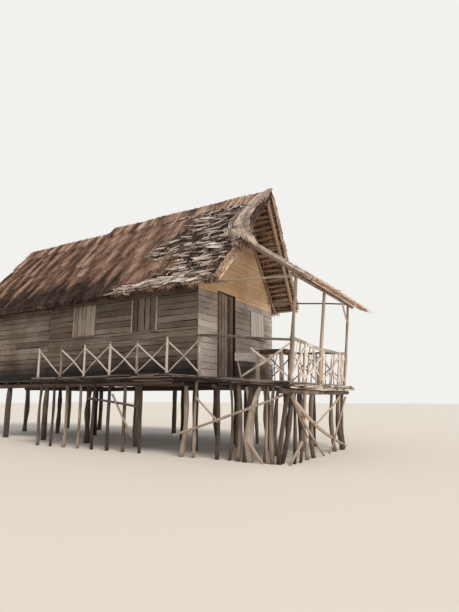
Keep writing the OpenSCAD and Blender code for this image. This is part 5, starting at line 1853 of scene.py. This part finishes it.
@dataclass
class Porch:
    """The lean-to roof over the terrace, on leaning posts."""

    pitch_y: float = 0.026
    waves: Ripple = field(default_factory=lambda: Ripple(47, (0.9, 0.8)))

    def build(self) -> None:
        """Dresses the porch from its posts to its loose straw."""
        posts = Piece("porch_posts_poles", Look.PORCH)
        for (a, b, r), tone in zip(frame_poles("porch_posts"), (0.45, 1.0, 0.6)):
            posts.pole(a, b, r, 0.82 * r, 0.012, 0.16, tint=tone)
        posts.finish("porch_posts")
        self._frame()
        self._bed()
        self._leaves()
        self._edges()

    def _frame(self) -> None:
        """Lays the eave pole, the rafters, the edge stick, the ledger, the ties and the strut."""
        piece = Piece("porch_frame_poles", Look.PORCH)
        r, x_e, z_e = PLAN.eave_pole_r, PLAN.x_eave_pole, PLAN.z_eave_pole
        y_mid, y_d, y_f = PLAN.y_mid, PLAN.post_y[0], PLAN.post_y[2]
        x_high, x_low, x_ledger = 0.17, x_e + 0.21, 0.1403
        z_ledger = z_e + (x_e - x_ledger) * math.tan(PLAN.porch_pitch) + (r - 0.03) / math.cos(PLAN.porch_pitch)
        rafters = [(x_high, y, x_low, y, None) for y in (y_mid - 0.4, y_mid, y_mid + 0.4)]
        rafters += [(0.96, 0.55, x_low, PLAN.y_outer, 1.0), (0.97, 2.52, x_low, 2.2, None)]
        under = -PLAN.porch_rafter_r
        for a, b, r1, r2, crook, tone in (
            (vec(x_e, PLAN.y_outer - 0.08, z_e), vec(x_e, PLAN.y_back + 0.3, z_e), r, 0.9 * r, 0.004, None),
            *(
                (PLAN.porch_at(xa, ya, under), PLAN.porch_at(xb, yb, under), 0.028, 0.026, 0.004, tone)
                for xa, ya, xb, yb, tone in rafters
            ),
            (PLAN.porch_at(2.95, -0.95, -0.03), PLAN.porch_at(2.95, 2.1, -0.03), 0.022, 0.018, 0.004, 1.5),
            (vec(x_ledger, y_mid - 0.46, z_ledger), vec(x_ledger, y_mid + 0.46, z_ledger), 0.03, 0.03, 0.003, None),
            (vec(0.1, PLAN.y_near + 0.35, PLAN.z_floor + 2.05), vec(x_e, y_d + 0.075, z_e), 0.022, 0.018, 0.01, 0.95),
            (vec(0.1, PLAN.y_far - 0.15, PLAN.z_floor + 2.12), vec(x_e, y_f - 0.075, z_e), 0.022, 0.018, 0.01, 0.95),
            (vec(x_e, y_f - 0.42, z_e), vec(x_e - 0.03, y_f, z_e - 0.4), 0.022, 0.018, 0.01, 0.95),
        ):
            piece.pole(a, b, r1, r2, crook, tint=tone)
        piece.finish("porch_frame")

    @staticmethod
    def _sides(x: Any) -> tuple[Any, Any]:
        """Near and far edge of the worn straw along Y at x: its far outer corner is gone."""
        near, far = PLAN.porch_sides(x)
        return near, far - np.interp(x, [1.6, 3.0], [0.0, 0.26])

    @staticmethod
    def _top(x: Any) -> Any:
        """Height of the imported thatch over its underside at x: it thins towards the outer edge."""
        return np.interp(x, [0.17, 1.2, 3.0], [0.075, 0.05, 0.028])

    def _bed(self) -> None:
        """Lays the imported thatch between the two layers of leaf."""
        piece = Piece("porch_thatch_bed", Look.STRAW_BED)
        shape = Shape.board()
        t, deep, across = shape.points.T
        for x0, x1 in ((0.17, 0.9), (0.86, 2.97)):
            x = mix(x0, x1, t)
            near, far = self._sides(np.clip(x, 0.9, 3) if x0 > 0.5 else np.minimum(x, 0.85))
            points = PLAN.porch_at(x, mix(near + 0.03, far - 0.03, across + 0.5), (deep + 0.5) * self._top(x))
            piece.lay(shape, points[None], np.zeros((1, len(t), 2)), 0.5, 0.0)
        piece.finish("porch_thatch")

    def _leaves(self) -> None:
        """Lays rows of leaf over the porch roof and under it."""
        down, out = PLAN.porch_axes()
        for name, look, step, reach, back, stray, tone in (
            ("porch_thatch_leaves", Look.STRAW, 0.11, (0.2, 0.32), 0.16, 0.03, 0.5),
            ("porch_thatch_underside", Look.UNDER, 0.15, (0.13, 0.17), 0.0, 0.008, 0.45),
        ):
            piece, over = Piece(name, look), look is Look.STRAW
            rng = piece.rng
            x = 0.25
            while x < PLAN.x_outer + 0.5:
                lo, hi = self._sides(x)
                y = piece.spread(lo + 0.02, hi - 0.02, self.pitch_y, 0.012)
                wave = self.waves.at(x, y)
                long = rng.uniform(*reach, len(y))
                u = PLAN.porch_down(x) - back + rng.normal(0, stray, len(y))
                roots = PLAN.on_porch(u, y, self._top(x) + 0.004 * (wave + 1) if over else -0.004)
                tint = tone + 0.12 * wave + rng.normal(0, 0.09, len(y))
                up = out if over else -out
                piece.leaves(roots, down, up, long, (0.018, 0.042), tint, 0.002, 0.004, 0.08, 0.005)
                x += step
            piece.finish()

    def _edges(self) -> None:
        """Hangs loose straw from the porch roof's outer edge and along its two sides."""
        piece = Piece("porch_edge_straw", Look.STRAW)
        rng = piece.rng
        down, out = PLAN.porch_axes()
        end = PLAN.porch_down(PLAN.x_lip)
        for h, droop, back in ((0.015, 0.3, 0.1), (0.025, 0.12, 0.12)):
            roots = PLAN.on_porch(end - back, piece.spread(-1.09, 2.2, 0.022, 0.01), h)
            tint = 0.5 + rng.normal(0, 0.16, len(roots))
            hang = unit(down + vec(0, 0, -droop))
            piece.leaves(roots, hang, out, (0.08, 0.14), (0.012, 0.024), tint, -0.002, 0.005, 0.1)
        # The lowest straw layers of the outer edge are near black: painted shade of the roof's underside.
        for h, tone in (
            (-0.014, 0.02), (-0.004, 0.05), (0.006, 0.1), (0.014, 0.5), (0.022, 0.6), (0.03, 0.55), (0.038, 0.6)
        ):
            y = piece.spread(-1.1, 1.95, 0.046, 0.02)
            roots = PLAN.on_porch(end - 0.012 + rng.uniform(-0.02, 0.02, len(y)), y, h)
            up = unit(down + 0.3 * out)
            piece.leaves(roots, vec(0, 1, 0), up, (0.2, 0.42), (0.010, 0.02), (tone, 0.13), 0.0, 0.005, 0.04)
        for ya, xa, yb, xb, way in ((0.49, 0.9, -1.09, PLAN.x_lip, -1), (2.582, 0.87, 2.24, 2.98, 1)):
            run = unit(PLAN.porch_at(xb, yb, 0) - PLAN.porch_at(xa, ya, 0))
            for level in (-0.4, 0.0, 0.35, 0.7, 1.0):
                share = piece.spread(0, 0.92, 0.011, 0.004)
                x, y = mix(xa, xb, share) - 0.1, mix(ya, yb, share)
                tint = (0.3 if level == 0.0 else 0.62) + rng.normal(0, 0.14, len(x))
                roots = PLAN.porch_at(x, y - way * 0.03, level * self._top(x))
                hang = unit(run + 0.12 * down)
                piece.leaves(roots, hang, out, (0.14, 0.3), (0.010, 0.022), tint, 0.0, 0.005, 0.06)
        piece.finish()


@dataclass
class Railings:
    """The stick railings of the walkway and of the terrace's three sides."""

    post_r: float = 0.030
    rail_r: float = 0.024
    stick_r: float = 0.015

    def build(self) -> None:
        """Lays the four railings."""
        y, top = PLAN.rail_y, vec(0, 0, PLAN.rail_h)
        feet = [vec(PLAN.first_post - i * PLAN.bay, y, PLAN.z_floor) for i in range(6, 0, -1)]
        self._railing("walkway_railing", feet, [foot + top for foot in feet], [1, 2, 2, 2, 2], tone=0.2)
        end = PLAN.x_outer - 0.01
        xs = [PLAN.first_post - PLAN.bay + 0.031, PLAN.first_post, PLAN.first_post + 0.89, end]
        feet = [vec(x, y, min(PLAN.z_floor, PLAN.deck_z(x))) for x in xs]
        z0, z1 = PLAN.z_floor + PLAN.rail_h, PLAN.deck_z(end) + PLAN.rail_h
        tops = [vec(x, y, mix(z0, z1, max(0.0, (x - xs[1]) / (xs[3] - xs[1])))) for x in xs]
        self._railing("terrace_front_railing", feet, tops, [2, 0, 4], (0, 2, 3))
        x_post = PLAN.x_outer - 0.045
        ys = [mix(PLAN.post_y[0], PLAN.post_y[2], share) for share in (0, 0.21, 0.53, 0.86, 1)]
        z = PLAN.deck_z(x_post)
        feet = [vec(x_post, v, z) for v in ys]
        dips = (-0.02, 0.01, 0.05, 0.04, 0.0)
        tops = [vec(PLAN.x_outer + 0.01, v, z + PLAN.rail_h - dip) for v, dip in zip(ys, dips)]
        self._railing("terrace_outer_railing", feet, tops, [3, 3, 3, 2], (0, 4), 1.3, 0.5, 4)
        xs = [x_post - i * 0.8 * PLAN.bay for i in (3, 2, 1, 0)]
        feet = [vec(x, PLAN.post_y[2], PLAN.deck_z(x)) for x in xs]
        self._railing("terrace_far_railing", feet, [foot + top for foot in feet], [2, 2, 2], (3,), extra=2)

    def _railing(
        self, node: str, feet: list[Array], tops: list[Array], bays: list[int], bare: tuple[int, ...] = (),
        rail: float = 1.0, tone: float = 0.25, extra: int = 0,
    ) -> None:
        """Lays one railing.

        Args:
            node: the CAD node it stands for.
            feet, tops: where its posts stand and where its rail passes.
            bays: 0 open, 1 one stick, 2 crossed sticks, 3 a thick pole and a stick, 4 a stick and a short one.
            bare: the feet without a post of their own.
            rail: how much thicker its rail is than the usual.
            tone: how pale its rail is.
            extra: loose sticks pushed into each bay.
        """
        piece = Piece(f"{node}_sticks", Look.STICK)
        rng, lay = piece.rng, piece.pole
        r, thin = self.post_r, self.stick_r
        for i, (foot, top) in enumerate(zip(feet, tops)):
            if i not in bare:
                head = mix(foot, top, rng.uniform(0.99, 1.04))
                lay(foot - vec(0, 0, 0.02), head, 0.92 * r, 0.78 * r, 0.014, tint=rng.uniform(0.35, 0.95))
        r = self.rail_r * rail
        for i, kind in enumerate(bays):
            lift = vec(0, 0, rng.uniform(0.0, 0.015))
            pale = tone + rng.uniform(-0.15, 0.15)
            lay(tops[i] + lift, tops[i + 1] + lift, r, 0.9 * r, 0.014, 0.16, tint=pale)
            if not kind:
                continue
            low, high = (0.92, 0.06) if kind == 1 else (0.06, 0.92)
            a, b = mix(feet[i], tops[i], low), mix(feet[i + 1], tops[i + 1], high)
            thick, pale = {3: 1.5, 4: 1.3}.get(kind, 1.0) * thin, 0.6 if kind == 3 else 0.55
            lay(a, b, thick, 0.85 * thick, 0.03, 0.14, thin=kind != 3, tint=pale)
            if kind > 1:
                a, b = mix(feet[i], tops[i], 0.9), mix(feet[i + 1], tops[i + 1], 0.08)
                a = mix(a, b, 0.2) if kind == 4 else a
                lay(a, b, 1.1 * thin, 0.95 * thin, 0.03, 0.14, tint=rng.uniform(0.6, 0.95))
            for _ in range(extra):
                s0, s1 = rng.uniform(0.08, 0.92, 2)
                a, b = mix(feet[i], feet[i + 1], s0), mix(tops[i], tops[i + 1], mix(s0, s1, 0.45))
                r1, r2 = rng.uniform(0.010, 0.015), rng.uniform(0.008, 0.011)
                lay(a, b, r1, r2, 0.03, 0.14, thin=True, tint=rng.uniform(0.2, 1.0))
        piece.finish(node)


@dataclass
class Bench:
    """The rough bench of logs by the front railing."""

    log_r: float = 0.034
    log_tones: tuple[float, ...] = (0.1, 0.5, 0.0, 0.35, 0.15)

    def build(self) -> None:
        """Lays the bench's legs, seat logs and apron board."""
        piece, apron = Piece("bench_logs", Look.BENCH), Piece("bench_apron", Look.APRON)
        lay, r = piece.pole, self.log_r
        x0, x1, x_side = PLAN.x_outer - 0.665, PLAN.x_outer - 0.215, PLAN.x_outer - 1.095
        y0 = PLAN.y_outer + 0.125
        y1 = y0 + len(self.log_tones) * 2 * r
        z = PLAN.z_floor + 0.335
        for x in (x0, x1):
            foot = PLAN.deck_z(x) - 0.01
            lay(vec(x, y0, foot), vec(x, y0, z), 0.044, 0.038, 0.02, 0.16, tint=0.8)
            lay(vec(x, y1, foot), vec(x, y1, z), 0.023, 0.02, 0.02, thin=True)
            lay(vec(x, y0 - 0.03, z - 0.045), vec(x, y1 + 0.03, z - 0.045), 0.022, 0.02, 0.01, thin=True)
        for i, tone in enumerate(self.log_tones):
            y = y0 + (2 * i + 0.6) * r
            a, b = vec(x0 - 0.06, y, z), vec(x1 + 0.06 + 0.025 * (i % 2), y, z)
            lay(a, b, r, 0.9 * r, 0.012, 0.16, tint=tone)
        a, b = vec(x_side + 0.12, y0, PLAN.deck_z(x_side) - 0.02), vec(x_side + 0.02, y0, z - 0.05)
        lay(a, b, 0.017, 0.014, 0.03, thin=True, tint=0.9)
        piece.finish("bench")
        a, b = vec(x_side, y0 - 0.012, z - 0.07), vec(x0, y0 - 0.012, z - 0.09)
        apron.board(a, b, vec(0, -1, 0), 0.145, 0.02, 0.004, 0.008, tint=0.7)
        apron.finish("bench")


@dataclass(frozen=True)
class Studio:
    """The pale floor, the soft light and the camera at the photograph's angle; angles are in degrees."""

    floor: str = "#e6dfd3"
    sky: float = 0.62
    sun: float = 1.9
    bounce: float = 360.0
    camera_at: Triple = (5.5575, -7.9972, 1.0555)
    camera_up: float = 11.287
    camera_left: float = 30.62
    lens: float = 26.98

    def build(self) -> None:
        """Sets the stage."""
        self._floor()
        self._light()
        self._camera()

    def _floor(self) -> None:
        """Lays a pale matt floor."""
        Shape.start()
        bpy.ops.mesh.primitive_plane_add(size=160)
        made = bpy.context.object
        made.name = "studio_floor"
        material, tree = fresh("matt_studio_paper")
        shader = add(tree, "BsdfPrincipled", {"Base Color": linear(self.floor), "Roughness": 0.95})
        add(tree, "OutputMaterial", {"Surface": shader})
        made.data.materials.append(material)
        made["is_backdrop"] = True

    def _light(self) -> None:
        """Sets an even sky, white to the camera, one wide soft lamp and a low one that stands for the sand's glare."""
        world = bpy.data.worlds.new("studio_sky")
        bpy.context.scene.world = world
        world.use_nodes = True
        tree = world.node_tree
        tree.nodes.clear()
        path = add(tree, "LightPath")
        white = add(tree, "Background", {"Color": linear("#f2f1ee"), "Strength": 1.0})
        soft = add(tree, "Background", {"Color": linear("#f5f6f9"), "Strength": self.sky})
        both = add(tree, "MixShader", {0: path.outputs["Is Camera Ray"], 1: soft, 2: white})
        add(tree, "OutputWorld", {"Surface": both})
        sun = self._lamp("soft_lamp", "SUN", self.sun, "#fff7ee", vec(0.66, -0.40, 0.86), vec(0, 0, 0))
        sun.angle = math.radians(20)
        self._lamp("sand_glare_lamp", "AREA", self.bounce, "#ffefdc", vec(0, 0, -1), vec(6.6, -0.6, 0.02)).size = 6.0
        bpy.context.scene.view_settings.view_transform = "Standard"

    @staticmethod
    def _lamp(name: str, kind: str, power: float, colour: str, towards: Array, place: Array) -> bpy.types.Light:
        """Hangs one lamp.

        Args:
            name: its name.
            kind: Blender's kind of light.
            power: its strength.
            colour: its colour in sRGB hex.
            towards: its direction from the house.
            place: where it hangs.

        Returns:
            The lamp.
        """
        lamp = bpy.data.lights.new(name, kind)
        lamp.energy = power
        lamp.color = linear(colour)[:3]
        holder = bpy.data.objects.new(name, lamp)
        holder.location = place
        holder.rotation_euler = Vector(towards).to_track_quat("Z", "Y").to_euler()
        holder.visible_camera = False
        bpy.context.scene.collection.objects.link(holder)
        return lamp

    def _camera(self) -> None:
        """Sets the camera where the photograph was taken from."""
        camera = bpy.data.cameras.new("view")
        camera.sensor_fit = "VERTICAL"
        camera.sensor_height = 36.0
        camera.lens = self.lens
        holder = bpy.data.objects.new("view", camera)
        holder.location = self.camera_at
        holder.rotation_euler = (math.radians(90 + self.camera_up), 0, math.radians(self.camera_left))
        bpy.context.scene.collection.objects.link(holder)
        bpy.context.scene.camera = holder


def corners() -> list[list[float]]:
    """The shown object's lowest and highest corner as plain lists."""
    return [[float(v) for v in corner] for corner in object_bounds()]


def main() -> None:
    """Builds the house's dressing in order."""
    logging.basicConfig(level=logging.INFO, format="%(message)s")
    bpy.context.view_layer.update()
    for kind in (Stilts, Decks, Walls, Openings, Roof, Porch, Railings, Bench, Studio):
        kind().build()
        log.info("%s is dressed", kind.__name__)


if __name__ == "__main__":
    main()
